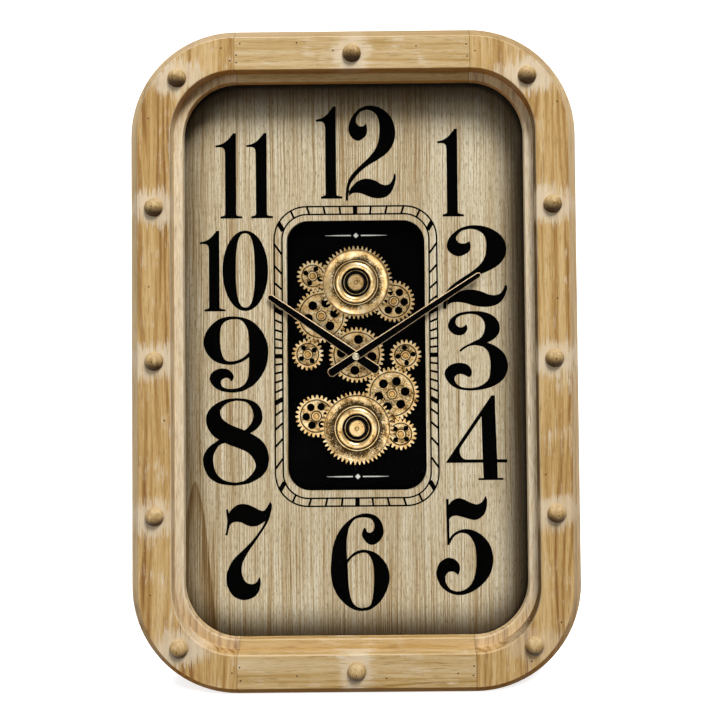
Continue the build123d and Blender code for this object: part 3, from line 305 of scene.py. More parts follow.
def track_ticks():
    """Sixty strokes between the two lines, each a narrow strip along its ray from the centre, wide on the hours."""
    bearing = np.radians(np.arange(60) * 6.0)
    ray = np.stack([np.sin(bearing), np.cos(bearing)], axis=1)
    half = np.where(np.arange(60) % 5 == 0, HOUR_TICK, MINUTE_TICK)[:, None] / 2
    aside = np.stack([ray[:, 1], -ray[:, 0]], axis=1) * half
    near = ray * (track_reach(bearing, TRACK_INNER) - TRACK_LINE / 2)[:, None]
    far = ray * (track_reach(bearing, TRACK_OUTER) - TRACK_LINE / 2)[:, None]
    corners = np.stack([near - aside, near + aside, far - aside, far + aside], axis=1)
    return list(corners.reshape(60, 2, 2, 2))


def plate_rules():
    """Plain ornament on the black plate: pairs of thin rules that taper outwards, with a lozenge between them."""
    half = np.array(RULE_HALVES)
    strips = []
    for height in RULE_HEIGHTS:
        for side in (-1, 1):
            x = np.array(RULE_PLACES) * side
            edges = [np.stack([x, height + half], axis=1), np.stack([x, height - half], axis=1)]
            strips.append(np.stack(edges, axis=1))
        left, low = [-LOZENGE, height], [0.0, height - LOZENGE]
        high, right = [0.0, height + LOZENGE], [LOZENGE, height]
        strips.append(np.array([[left, low], [high, right]]))
    return strips


def into_mesh(name, grids, ahead=None):
    """Joins each grid's neighbours by quads as one mesh: open sheets are turned to look ahead, closed ones outwards."""
    points, quads, start = [], [], 0
    for grid in grids:
        n, m = grid.shape[:2]
        index = start + np.arange(n * m).reshape(n, m)
        corners = [index[:-1, :-1], index[1:, :-1], index[1:, 1:], index[:-1, 1:]]
        quads.append(np.stack(corners, axis=-1).reshape(-1, 4))
        points.append(grid.reshape(-1, 3))
        start += n * m
    points, quads = np.concatenate(points), np.concatenate(quads)
    if ahead is not None:
        corner = points[quads]
        normal = np.cross(corner[:, 2] - corner[:, 0], corner[:, 3] - corner[:, 1])
        wrong = (normal * ahead).sum(axis=1) < 0
        quads[wrong] = quads[wrong][:, ::-1]
    mesh = bpy.data.meshes.new(name)
    mesh.from_pydata(points.tolist(), [], quads.tolist())
    welded = bmesh.new()
    welded.from_mesh(mesh)
    bmesh.ops.remove_doubles(welded, verts=welded.verts, dist=1e-7)
    if ahead is None:
        bmesh.ops.recalc_face_normals(welded, faces=welded.faces)
    welded.to_mesh(mesh)
    welded.free()
    piece = bpy.data.objects.new(name, mesh)
    scene.collection.objects.link(piece)
    return piece


def fasten(piece, coat):
    """Gives a new piece its material, and fixes it to the body of the clock."""
    piece.data.materials.append(coat)
    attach(piece, BODY)


def print_on(name, strips, face, coat):
    """Lays flat strips, in mm from the dial centre, as a film of paint just in front of a face of the clock."""
    grids = []
    for k, strip in enumerate(strips):
        y = np.full(strip.shape[:2], face - (INK_GAP + INK_THICKNESS + INK_STEP * (k % 5)) * MM)
        grids.append(np.stack([strip[..., 0] * MM, y, strip[..., 1] * MM + MIDDLE], axis=-1))
    piece = into_mesh(name, grids, np.array([0.0, -1.0, 0.0]))
    film = piece.modifiers.new("film", "SOLIDIFY")
    film.thickness = INK_THICKNESS * MM
    film.offset = -1.0
    fasten(piece, coat)


def low_heads(name, centres, radius, height, sunk, face, coat, slot):
    """Small domed pin heads: a profile turned round its own axis, rising as 1 - r squared over the face, with a
    straight side and a flat bottom sunk into it."""
    share = np.array([0.0, 0.25, 0.5, 0.75, 1.0, 1.0, 0.0])
    rise = np.append((1 - share[:5] ** 2) * height, [-sunk, -sunk])
    a = np.linspace(0, 2 * math.pi, 17)
    x, z = radius * share[:, None] * np.cos(a), radius * share[:, None] * np.sin(a)
    y = np.broadcast_to(face - rise[:, None] * MM, x.shape)
    grids = [np.stack([(cx + x) * MM, y, (cz + z) * MM + MIDDLE], axis=-1) for cx, cz in centres]
    fasten(into_mesh(name, grids), coat)


def tint(code):
    """sRGB hex to the linear colour that a shader takes."""
    part = np.array([int(code[i:i + 2], 16) for i in (1, 3, 5)]) / 255.0
    linear = np.where(part <= 0.04045, part / 12.92, ((part + 0.055) / 1.055) ** 2.4)
    return (*linear.tolist(), 1.0)


def add_node(tree, kind, sockets=(), stops=(), **settings):
    """Adds a shader node, with its operation after a point in the kind. Sockets are a row in the node's own order, so
    that a MapRange has its value, the two ends it comes from and the two it goes to, or a dict by name or number, and
    each takes a value or a link from another node. Stops are a ramp's (place, hex) pairs, settings its properties."""
    kind, _, operation = kind.partition(".")
    made = tree.nodes.new("ShaderNode" + kind)
    if operation:
        made.operation = operation
    for stop, (place, code) in enumerate(stops):
        ramp = made.color_ramp.elements
        mark = ramp[stop] if stop < 2 else ramp.new(place)
        mark.position, mark.color = place, tint(code)
    for key, value in settings.items():
        setattr(made, key, value)
    for key, value in sockets.items() if isinstance(sockets, dict) else enumerate(sockets):
        if isinstance(value, bpy.types.Node):
            value = value.outputs[0]
        if isinstance(value, bpy.types.NodeSocket):
            tree.links.new(value, made.inputs[key])
        else:
            made.inputs[key].default_value = value
    return made


def material(name, surface, *options, **choices):
    """A new material: its tree holds what a function builds from its options, and the output."""
    made = bpy.data.materials.new(name)
    made.use_nodes = True
    made.node_tree.nodes.clear()
    add = partial(add_node, made.node_tree)
    add("OutputMaterial", [surface(add, *options, **choices)])
    return made


# The frame folded on both axes, in metres from the dial centre: where its corner arcs are centred, how far from there
# its outside lies, its step ends and its bevel begins, and the buttons of one quarter.
CORNER_ARC = 0.109
CORNER_CENTRE = (HALF_WIDTH - CORNER_ARC, 0.0, MIDDLE - CORNER_ARC)
STEP_REACH = 0.075
BEVEL_REACH = CORNER_ARC - 0.0082
BUTTON_INSET = 0.02625
CORNER_REACH = (CORNER_ARC - BUTTON_INSET) * math.sqrt(0.5)
QUARTER_BUTTONS = [
    (0.0, MIDDLE - BUTTON_INSET),
    (HALF_WIDTH - BUTTON_INSET, 0.0),
    (HALF_WIDTH - BUTTON_INSET, 0.157),
    (CORNER_CENTRE[0] + CORNER_REACH, CORNER_CENTRE[2] + CORNER_REACH),
]
# Where its ledge begins, the wall of its step ends and its wax ends, from the front, and how high its sides end.
LEDGE_BEGINS = (FRAME_FACE + 0.011, FRAME_FACE + 0.0135)
WALL_END = FRAME_FACE + 0.0136
WAX_END = FRAME_FACE + 0.012
SIDE_ENDS = (0.215, 0.275)
LATE_WOOD_PITCH = 0.0085


def oiled_pine(add, along_x, seed, woods, step, ledge_wax_and_light_share):
    """Planed pine, oiled and rubbed with lime wax: brown late wood in long slanting arches 8.5 mm apart, fine fibres
    between them, cream wax round the buttons that ends in streaks along the grain, pale edges that are part wear and
    part painted highlight, a ledge paled by wax and painted light, painted light and shade on the walls of the step,
    painted shade on the undersides, and a dark line where two lengths meet. Woods are the tones from late wood to
    sapwood."""
    place = add("TexCoord").outputs["Object"]
    centred = add("Mapping", {"Vector": place, "Location": (0.0, 0.0, -MIDDLE)})
    x, y, z = add("SeparateXYZ", [centred]).outputs
    # noises drawn out along the grain, as scale along and across it, seed, detail and roughness: a swell 33 mm wide
    # and 300 mm long, fibres 1.4 by 50 mm, streaks of heartwood 12 mm wide, open pores and saw marks 1.1 by 14 mm, and
    # brush marks 1.2 mm wide, alike on all boards; fibres, pores and brush marks are twice their size so that they show
    noises = []
    for along, aside, w, detail, uneven in (
        (3.2, 30.0, seed, 2.5, 0.5),
        (20.0, 720.0, seed, 4.0, 0.7),
        (2.2, 85.0, seed + 5.0, 2.0, 0.5),
        (70.0, 900.0, seed, 2.0, 0.7),
        (48.0, 820.0, None, 3.0, 0.6),
    ):
        scale = (along, aside, aside) if along_x else (aside, aside, along)
        drawn = add("Mapping", {"Vector": centred, "Scale": scale})
        sockets = {"Vector": drawn, "Scale": 1.0, "Detail": detail, "Roughness": uneven}
        seeded = {} if w is None else {"W": w}
        noises.append(add("TexNoise", {**sockets, **seeded}, noise_dimensions="4D" if seeded else "3D"))
    swell, fibre, streak, pore, brush = noises
    cloud = add("TexNoise", {"Vector": centred, "Scale": 30.0, "Detail": 4.0, "Roughness": 0.62})
    # late wood: soft lines across the grain, pushed about by the swell
    across = add("Math.MULTIPLY_ADD", [y, 0.5, z if along_x else x])
    pushed = add("Math.MULTIPLY_ADD", [swell, 0.052, across])
    turns = add("Math.MULTIPLY", [pushed, 2 * math.pi / LATE_WOOD_PITCH])
    wave = add("Math.SINE", [turns])
    late = add("MapRange", [wave, -0.5, 1.0, 0.0, -0.17], interpolation_type="SMOOTHSTEP")
    patchy = add("MapRange", [streak, 0.35, 0.65, 1.0, 0.2])
    ring = add("Math.MULTIPLY", [late, patchy])
    grained = add("Math.MULTIPLY_ADD", [fibre, 0.46, ring])
    tone = add("Math.MULTIPLY_ADD", [streak, 0.50, grained])
    colour = add("ValToRGB", [tone], stops=list(zip((0.24, 0.38, 0.50, 0.64), woods)))
    # the ledge of the step is paler, most along the sides, in strokes of the brush: partly lime wax, partly painted
    # light that lifts it out of the shade of the step
    fold = add("VectorMath.ABSOLUTE", [centred])
    flat = add("VectorMath.MULTIPLY", [fold, (1.0, 0.0, 1.0)])
    flat_x, _, flat_z = add("SeparateXYZ", [flat]).outputs
    outward = add("VectorMath.SUBTRACT", [flat, CORNER_CENTRE])
    rounded = add("VectorMath.MAXIMUM", [outward, (0.0, 0.0, 0.0)])
    reach = add("VectorMath.LENGTH", [rounded]).outputs["Value"]
    inner = add("Math.LESS_THAN", [reach, STEP_REACH])
    behind = add("MapRange", [y, *LEDGE_BEGINS, 0.0, ledge_wax_and_light_share])
    straight = add("MapRange", [flat_z, *SIDE_ENDS, 1.0, 0.35])
    strokes = add("MapRange", [brush, 0.38, 0.58, 0.5, 1.1])
    ledge = inner
    for share in (behind, straight, strokes):
        ledge = add("Math.MULTIPLY", [ledge, share])
    # painted light and shade on the wall of the step: pale where it looks right, towards the key light, and dark where
    # it looks left, away from it
    look_x, look_y, look_z = add("SeparateXYZ", [add("NewGeometry").outputs["Normal"]]).outputs
    shallow = add("Math.LESS_THAN", [y, WALL_END])
    wall = add("Math.MULTIPLY", [inner, shallow])
    rightward = add("MapRange", [look_x, 0.3, 0.8, 0.0, 0.3])
    leftward = add("MapRange", [look_x, -0.3, -0.8, 0.0, 0.8])
    painted_lit_wall = add("Math.MULTIPLY", [wall, rightward])
    painted_shade_wall = add("Math.MULTIPLY", [wall, leftward])
    pale_ledge_and_lit_wall = add("Math.MAXIMUM", [ledge, painted_lit_wall])
    dash = add("MapRange", [pore, 0.52, 0.70, 0.0, 0.5])
    # lime wax: a patch 40 mm long round each button whose edge breaks up along the fibres, sparing low on the right
    squash = (1.0, 0.0, 0.6) if along_x else (0.6, 0.0, 1.0)
    nearest = None
    for button_x, button_z in QUARTER_BUTTONS:
        away = add("VectorMath.SUBTRACT", [flat, (button_x, 0.0, button_z)])
        squashed = add("VectorMath.MULTIPLY", [away, squash])
        gap = add("VectorMath.LENGTH", [squashed]).outputs["Value"]
        nearest = gap if nearest is None else add("Math.MINIMUM", [nearest, gap])
    torn = add("Math.MULTIPLY_ADD", [brush, -0.046, nearest])
    ragged = add("Math.MULTIPLY_ADD", [cloud, -0.020, torn])
    rubbed = add("MapRange", [ragged, -0.021, -0.010, 0.84, 0.0], interpolation_type="SMOOTHSTEP")
    ahead = add("Math.LESS_THAN", [y, WAX_END])
    lean = add("Math.MULTIPLY_ADD", [x, -0.9, z])
    sparing = add("MapRange", [lean, -0.45, -0.29, 0.4, 1.0])
    mottled = add("MapRange", [cloud, 0.35, 0.60, 0.72, 1.0])
    for share in (ahead, sparing, mottled):
        rubbed = add("Math.MULTIPLY", [rubbed, share])
    # and loose clouds of it, and pale wear on arrises and bevel, partly a painted highlight on the arrises: faces that
    # look neither forward nor sideways, spared where they look down so that these stay dark as painted shade
    scuffed = add("Math.MULTIPLY", [brush, cloud])
    patch = add("MapRange", [scuffed, 0.29, 0.44, 0.0, 0.8])
    facing = add("Math.ABSOLUTE", [look_y])
    turned = add("Math.COMPARE", [facing, 0.58, 0.34])
    clear_of_painted_underside = add("MapRange", [look_z, -0.5, 0.0, 0.0, 0.38])
    rounded_off = add("Math.MULTIPLY", [turned, clear_of_painted_underside])
    wear_and_highlight = add("Math.MULTIPLY", [rounded_off, strokes])
    edged = add("Math.MAXIMUM", [wear_and_highlight, patch])
    wax = add("Math.MAXIMUM", [rubbed, edged], use_clamp=True)
    # painted shade on the undersides in a saturated brown, and brown dust in the outer bevel, 8 mm wide, where it looks
    # up
    painted_underside_shade = add("MapRange", [look_z, -0.15, -0.55, 0.0, 0.62])
    brim = add("Math.GREATER_THAN", [reach, BEVEL_REACH])
    above = add("MapRange", [look_z, 0.1, 0.6, 0.0, 0.62])
    settled = add("Math.MULTIPLY", [brim, above])
    # glue line between rail and side, half a millimetre wide
    seam = add("Math.SUBTRACT", [flat_x, CORNER_CENTRE[0]])
    seam_gap = add("Math.ABSOLUTE", [seam])
    line = add("MapRange", [seam_gap, 0.0002, 0.0007, 0.55, 0.0])
    for share, code in (
        (pale_ledge_and_lit_wall, step), (dash, "#80592A"), (painted_shade_wall, "#46300F"), (wax, "#DCCBAF"),
        (painted_underside_shade, "#AA6A19"), (settled, "#836638"), (line, "#5E421F"),
    ):
        colour = add("Mix", {"Factor": share, 6: colour, 7: tint(code)}, data_type="RGBA").outputs[2]
    relief = add("Bump", {"Height": grained, "Strength": 0.35, "Distance": 0.0004})
    planed = add("MapRange", [fibre, 0.0, 1.0, 0.52, 0.74])
    rough = add("Math.MULTIPLY_ADD", [painted_underside_shade, 0.35, planed], use_clamp=True)
    return add("BsdfPrincipled", {
        "Base Color": colour, "Roughness": rough, "Normal": relief, "Specular IOR Level": 0.07,
    })


def turned_button(add):
    """Turned pine button, stained a shade darker than the frame: grain 2.4 mm wide, its top painted pale as painted
    light and its underside painted dark as painted shade."""
    place = add("TexCoord").outputs["Object"]
    grain_place = add("Mapping", {"Vector": place, "Scale": (420.0, 420.0, 60.0)})
    grain = add("TexNoise", {"Vector": grain_place, "Scale": 1.0, "Detail": 3.0, "Roughness": 0.6})
    cloud = add("TexNoise", {"Vector": place, "Scale": 160.0, "Detail": 2.0})
    tone = add("Math.MULTIPLY_ADD", [cloud, 0.6, grain])
    colour = add("ValToRGB", [tone], stops=[(0.50, "#7E6036"), (0.75, "#A78857"), (0.98, "#C4A878")])
    look = add("SeparateXYZ", [add("NewGeometry").outputs["Normal"]])
    # painted light where the button looks up, painted shade where it looks down
    above = add("MapRange", [look.outputs["Z"], 0.15, 0.75, 0.0, 0.3])
    painted_underside_shade = add("MapRange", [look.outputs["Z"], 0.15, -0.55, 0.0, 0.92])
    for share, code in ((above, "#DDCBA4"), (painted_underside_shade, "#351C02")):
        colour = add("Mix", {"Factor": share, 6: colour, 7: tint(code)}, data_type="RGBA").outputs[2]
    relief = add("Bump", {"Height": grain, "Strength": 0.3, "Distance": 0.0003})
    return add("BsdfPrincipled", {
        "Base Color": colour, "Roughness": 0.42, "Normal": relief, "Specular IOR Level": 0.12,
    })


# Figure of the veneer, in metres from the dial centre: leaves of one width, and one pointed arch low on the left.
LEAF_WIDTH = 0.099
LEAF_JOINT = -0.127
ARCH_APEX = (-0.172, -0.1333)
ARCH_SPREAD = 0.0686
ARCH_POWER = 0.6
# Its grey-brown staining, deepened towards the top and right as painted shade of the frame, and its near-black
# # rim, a painted shadow under the lip: shift, corner centre, where they begin and end beyond it, strength and colour.
STAIN_AND_SHADE = ((0.008, 0.0, 0.006), (0.127, 1.0, 0.231), 0.022, 0.062, 0.88, "#3A2503")
RIM_SHADOW = ((0.003, 0.0, 0.005), (0.121, 1.0, 0.233), 0.0585, 0.0655, 0.85, "#0B0702")


def dial_veneer(add):
    """Oak veneer, sealed matt: straight vertical fibres 1 mm wide, open pores as short dark dashes, leaves 99 mm wide
    that differ a little in tone, one brown arch of crown-cut figure whose half width is its spread times a power of
    the depth under its apex, grey-brown staining towards the edge that is partly painted shade of the frame, deeper
    on the top and right, and a near-black line where it ends, painted as the shadow under the lip."""
    place = add("TexCoord").outputs["Object"]
    centred = add("Mapping", {"Vector": place, "Location": (0.0, 0.0, -MIDDLE)})
    drift = add("TexNoise", {"Vector": centred, "Scale": 7.0, "Detail": 2.0}).outputs["Color"]
    bent = add("VectorMath.MULTIPLY_ADD", [drift, (0.006, 0.0, 0.0), centred])
    # streaks 11 mm wide, fibres 1.1 mm wide and 160 mm long, pores 1.1 mm wide and 8 mm long, as scale, detail and
    # roughness; fibres and pores are twice their size so that they show
    noises = []
    for scale, detail, uneven in (
        ((95.0, 1.0, 1.8), 2.5, 0.55),
        ((900.0, 1.0, 6.0), 4.0, 0.75),
        ((900.0, 1.0, 125.0), 2.0, 0.7),
    ):
        drawn = add("Mapping", {"Vector": bent, "Scale": scale})
        noises.append(add("TexNoise", {"Vector": drawn, "Scale": 1.0, "Detail": detail, "Roughness": uneven}))
    streak, fibre, pore = noises
    # the arch: brown inside its legs, darkest along them, its edge feathered by the fibres
    bent_x, _, bent_z = add("SeparateXYZ", [bent]).outputs
    depth = add("Math.SUBTRACT", [ARCH_APEX[1], bent_z], use_clamp=True)
    grown = add("Math.POWER", [depth, ARCH_POWER])
    leg = add("Math.MULTIPLY", [grown, ARCH_SPREAD])
    aside = add("Math.SUBTRACT", [bent_x, ARCH_APEX[0]])
    off_axis = add("Math.ABSOLUTE", [aside])
    within = add("Math.SUBTRACT", [leg, off_axis])
    feathered = add("Math.MULTIPLY_ADD", [fibre, 0.006, within])
    edge = add("MapRange", [feathered, 0.0024, 0.0036])
    fade = add("MapRange", [feathered, 0.003, 0.012, -0.17, -0.06])
    browned = add("Math.MULTIPLY", [edge, fade])
    # leaves: each has its own tone, and a thin dark joint
    run = add("SeparateXYZ", [centred]).outputs["X"]
    leaf_run = add("Math.MULTIPLY_ADD", [run, 1.0 / LEAF_WIDTH, -LEAF_JOINT / LEAF_WIDTH])
    leaf_count = add("Math.FLOOR", [leaf_run])
    leaf_tone = add("TexWhiteNoise", {"W": leaf_count}, noise_dimensions="1D")
    joint_gap = add("Math.PINGPONG", [leaf_run, 0.5])
    joint = add("MapRange", [joint_gap, 0.003, 0.009, 0.5, 0.0])
    figure = add("Math.MULTIPLY_ADD", [leaf_tone, 0.05, browned])
    sharper = add("Math.SUBTRACT", [figure, 0.16])
    fine = add("Math.MULTIPLY_ADD", [fibre, 1.32, sharper])
    tone = add("Math.MULTIPLY_ADD", [streak, 0.27, fine])
    woods = [(0.44, "#74542B"), (0.56, "#B2966A"), (0.66, "#CFBD98"), (0.76, "#E6DBBF")]
    wood = add("ValToRGB", [tone], stops=woods)
    dash = add("MapRange", [pore, 0.50, 0.68, 0.0, 0.66])
    marked = add("Math.MAXIMUM", [dash, joint])
    colour = add("Mix", {"Factor": marked, 6: wood, 7: tint("#7B6443")}, data_type="RGBA").outputs[2]
    # staining with painted shade, then the rim's painted shadow, by the distance to the rounded opening of the frame
    for shift, corner, low, high, most, code in (STAIN_AND_SHADE, RIM_SHADOW):
        shifted = add("VectorMath.ADD", [centred, shift])
        fold = add("VectorMath.ABSOLUTE", [shifted])
        beyond = add("VectorMath.SUBTRACT", [fold, corner])
        outside = add("VectorMath.MAXIMUM", [beyond, (0.0, 0.0, 0.0)])
        reach = add("VectorMath.LENGTH", [outside]).outputs["Value"]
        edge_darkening = add("MapRange", [reach, low, high, 0.0, most], interpolation_type="SMOOTHSTEP")
        colour = add("Mix", {"Factor": edge_darkening, 6: colour, 7: tint(code)}, data_type="RGBA").outputs[2]
    relief = add("Bump", {"Height": fibre, "Strength": 0.2, "Distance": 0.0002})
    return add("BsdfPrincipled", {
        "Base Color": colour, "Roughness": 0.62, "Normal": relief, "Specular IOR Level": 0.15,
    })


def raw_board(add, codes, grain, roughness):
    """Unfinished board behind the dial: flecks of fibre a few millimetres long, matt and a little furry."""
    place = add("TexCoord").outputs["Object"]
    fleck_place = add("Mapping", {"Vector": place, "Scale": grain})
    fleck = add("TexNoise", {"Vector": fleck_place, "Scale": 1.0, "Detail": 5.0, "Roughness": 0.7})
    cloud = add("TexNoise", {"Vector": place, "Scale": 22.0, "Detail": 2.0})
    tone = add("Math.MULTIPLY_ADD", [cloud, 0.35, fleck])
    colour = add("ValToRGB", [tone], stops=list(zip((0.45, 0.68, 0.92), codes)))
    relief = add("Bump", {"Height": fleck, "Strength": 0.3, "Distance": 0.0003})
    return add("BsdfPrincipled", {"Base Color": colour, "Roughness": roughness, "Normal": relief})


def black_plate(add):
    """Board sprayed satin black: near black with a faint orange-peel of 3 mm that softens what it mirrors."""
    place = add("TexCoord").outputs["Object"]
    peel = add("TexNoise", {"Vector": place, "Scale": 330.0, "Detail": 2.0})
    cloud = add("TexNoise", {"Vector": place, "Scale": 9.0, "Detail": 2.0})
    colour = add("ValToRGB", [cloud], stops=[(0.35, "#010101"), (0.65, "#030303")])
    rough = add("MapRange", [peel, 0.0, 1.0, 0.34, 0.52])
    relief = add("Bump", {"Height": peel, "Strength": 0.12, "Distance": 0.0002})
    return add("BsdfPrincipled", {
        "Base Color": colour, "Roughness": rough, "Normal": relief, "Specular IOR Level": 0.012,
    })


# The blackened hollow of a dished wheel, in mm: the radii between which its paint ends, and its bare ridge.
HOLLOW_EDGE = (15.6, 15.9)
HOLLOW_RIDGE = 13.0
RIDGE_HALF = 0.30


def antique_brass(add, centre, rings, tarnish=None, hollow=False):
    """Stamped brass, darkened and rubbed back: bright on what stands proud, brown in the turned lines and in speckles a
    millimetre across, and dark on every wall that looks sideways as painted shade from the gears around it. Rings are
    (radius, half width) of the dark turned lines, in mm. Tarnish is (inner, outer, near, far): between two radii in mm
    the speckles thin out from near to far. A dished wheel also has a blackened hollow round its cap."""
    place = add("TexCoord").outputs["Object"]
    centred = add("Mapping", {"Vector": place, "Location": tuple(-c for c in centre)})
    flat = add("VectorMath.MULTIPLY", [centred, (1.0, 0.0, 1.0)])
    radius = add("VectorMath.LENGTH", [flat]).outputs["Value"]
    cloud = add("TexNoise", {"Vector": place, "Scale": 140.0, "Detail": 3.0, "Roughness": 0.6})
    fleck = add("TexNoise", {"Vector": place, "Scale": 900.0, "Detail": 2.0, "Roughness": 0.7})
    tone = add("Math.MULTIPLY_ADD", [fleck, 0.5, cloud])
    brasses = [(0.52, "#A87A40"), (0.66, "#DCB474"), (0.82, "#EECE96"), (0.98, "#FAE9C2")]
    metal = add("ValToRGB", [tone], stops=brasses)
    speckled = add("MapRange", [tone, 0.50, 0.64, 0.7, 0.0])
    look = add("SeparateXYZ", [add("NewGeometry").outputs["Normal"]])
    facing = add("Math.ABSOLUTE", [look.outputs["Y"]])
    # painted shade: walls that look sideways, such as tooth flanks and rims, are darkened as if shaded by the layers of
    # gears
    darks = [add("MapRange", [facing, 0.25, 0.45, 0.92, 0.0])]
    for middle, half in rings:
        turned = add("Math.SUBTRACT", [radius, middle * MM])
        apart = add("Math.ABSOLUTE", [turned])
        darks.append(add("MapRange", [apart, half * 0.6 * MM, half * 1.5 * MM, 0.97, 0.0]))
    if tarnish:
        inner, outer, near, far = tarnish
        speck = add("TexNoise", {"Vector": place, "Scale": 800.0, "Detail": 3.0, "Roughness": 0.8})
        blotch = add("TexNoise", {"Vector": place, "Scale": 70.0, "Detail": 2.0})
        beyond = add("Math.GREATER_THAN", [radius, inner * MM])
        short = add("Math.LESS_THAN", [radius, outer * MM])
        band = add("Math.MULTIPLY", [beyond, short])
        share = add("MapRange", [radius, inner * MM, outer * MM, near, far])
        mottle = add("Math.MULTIPLY_ADD", [blotch, 0.6, speck])
        thinned = add("Math.ADD", [mottle, share])
        spotted = add("MapRange", [thinned, 0.74, 0.92, 0.95, 0.0])
        darks.append(add("Math.MULTIPLY", [band, spotted]))
    dark = speckled
    for other in darks:
        dark = add("Math.MAXIMUM", [dark, other])
    aged = add("Mix", {"Factor": dark, 6: metal, 7: tint("#211407")}, data_type="RGBA")
    colour, shine = aged.outputs[2], 0.8
    if hollow:
        inside = add("MapRange", [radius, *(edge * MM for edge in HOLLOW_EDGE), 1.0, 0.0])
        ridge = add("Math.COMPARE", [radius, HOLLOW_RIDGE * MM, RIDGE_HALF * MM])
        ridge_worn = add("Math.MULTIPLY", [ridge, 0.85])
        paint = add("Math.SUBTRACT", [inside, ridge_worn], use_clamp=True)
        colour = add("Mix", {"Factor": paint, 6: colour, 7: tint("#050403")}, data_type="RGBA").outputs[2]
        shine = add("MapRange", [paint, 0.0, 1.0, 0.8, 0.0])
        dark = add("Math.MAXIMUM", [dark, paint])
    rough = add("MapRange", [dark, 0.0, 1.0, 0.32, 0.72])
    relief = add("Bump", {"Height": tone, "Strength": 0.25, "Distance": 0.0002})
    return add("BsdfPrincipled", {
        "Base Color": colour, "Metallic": shine, "Roughness": rough, "Normal": relief, "Specular IOR Level": 0.06,
    })


def plain_metal(add, codes, roughness, streak=260.0):
    """Turned or pressed metal: tool marks from 4 mm down to half a millimetre that vary its gloss, a little tarnish."""
    place = add("TexCoord").outputs["Object"]
    mark = add("TexNoise", {"Vector": place, "Scale": streak, "Detail": 3.0, "Roughness": 0.65})
    colour = add("ValToRGB", [mark], stops=list(zip((0.32, 0.50, 0.68), codes)))
    rough = add("MapRange", [mark, 0.0, 1.0, roughness - 0.08, roughness + 0.12])
    relief = add("Bump", {"Height": mark, "Strength": 0.12, "Distance": 0.0001})
    return add("BsdfPrincipled", {"Base Color": colour, "Metallic": 1.0, "Roughness": rough, "Normal": relief})


def lacquered_hand(add):
    """Pressed hand in satin black lacquer whose bevelled edge is rubbed back to pale gold, so that it reads as a
    black bar with a thin bright outline."""
    look = add("SeparateXYZ", [add("NewGeometry").outputs["Normal"]])
    flat = add("Math.ABSOLUTE", [look.outputs["Y"]])
    edge = add("MapRange", [flat, 0.90, 0.97, 1.0, 0.0])
    place = add("TexCoord").outputs["Object"]
    grit = add("TexNoise", {"Vector": place, "Scale": 420.0, "Detail": 3.0})
    black = add("ValToRGB", [grit], stops=[(0.35, "#010101"), (0.70, "#050505")])
    gold = add("ValToRGB", [grit], stops=[(0.35, "#E2BC86"), (0.65, "#FFE9C4")])
    colour = add("Mix", {"Factor": edge, 6: black, 7: gold}, data_type="RGBA").outputs[2]
    metal = add("Math.MULTIPLY", [edge, 0.15])
    rough = add("MapRange", [grit, 0.0, 1.0, 0.38, 0.50])
    return add("BsdfPrincipled", {
        "Base Color": colour, "Metallic": metal, "Roughness": rough, "Specular IOR Level": 0.015,
    })


def moulded_abs(add, code_low, code_high):
    """Moulded ABS with a spark-eroded grain of 0.6 mm: soft sheen, slightly lighter where the grain stands."""
    place = add("TexCoord").outputs["Object"]
    grain = add("TexNoise", {"Vector": place, "Scale": 1600.0, "Detail": 2.0})
    colour = add("ValToRGB", [grain], stops=[(0.35, code_low), (0.65, code_high)])
    rough = add("MapRange", [grain, 0.0, 1.0, 0.42, 0.58])
    relief = add("Bump", {"Height": grain, "Strength": 0.3, "Distance": 0.0001})
    return add("BsdfPrincipled", {"Base Color": colour, "Roughness": rough, "Normal": relief, "IOR": 1.52})


# Along a cell, as shares of its length: steel end, grey sleeve, copper band and steel end.
CELL_BANDS = [
    (0.0, "#B9BBBD"), (0.012, "#B9BBBD"), (0.016, "#232527"), (0.70, "#2A2C2E"),
    (0.705, "#A8683A"), (0.955, "#B0703F"), (0.965, "#C4C6C8"), (1.0, "#C4C6C8"),
]


def wrapped_cell(add, axis, low, high):
    """AA cell in a shrunk plastic sleeve: dark grey with a copper band at the positive end, bare steel at both ends."""
    place = add("TexCoord").outputs["Object"]
    along = add("SeparateXYZ", [place]).outputs[axis]
    sleeve = add("ValToRGB", [add("MapRange", [along, low, high])], stops=CELL_BANDS)
    scuff = add("TexNoise", {"Vector": place, "Scale": 600.0, "Detail": 3.0})
    rough = add("MapRange", [scuff, 0.0, 1.0, 0.24, 0.40])
    return add("BsdfPrincipled", {"Base Color": sleeve, "Metallic": 0.35, "Roughness": rough})


def clear_glass(add):
    """Float glass, 3 mm: almost nothing to see, so a dark film of very low opacity, with little gloss because so thin
    a film mirrors only as stray bright specks."""
    return add("BsdfPrincipled", {
        "Base Color": tint("#0A0F0D"), "Roughness": 0.04, "Specular IOR Level": 0.01, "Alpha": 0.02, "IOR": 1.52,
    })


def printed_ink(add, codes, roughness):
    """Screen-printed ink: dense, slightly uneven where it sinks into the grain below, no gloss of its own."""
    place = add("TexCoord").outputs["Object"]
    sunk_place = add("Mapping", {"Vector": place, "Scale": (620.0, 1.0, 12.0)})
    sunk = add("TexNoise", {"Vector": sunk_place, "Scale": 1.0, "Detail": 3.0})
    colour = add("ValToRGB", [sunk], stops=list(zip((0.35, 0.70), codes)))
    return add("BsdfPrincipled", {"Base Color": colour, "Roughness": roughness, "Specular IOR Level": 0.01})


nodes = frame["nodes"]
pivot = {joint["child"]: joint["pos_m"] for joint in frame["joints"] if "pos_m" in joint}


def finish(coat, *names):
    """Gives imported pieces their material."""
    for name in names:
        nodes[name].data.materials.clear()
        nodes[name].data.materials.append(coat)


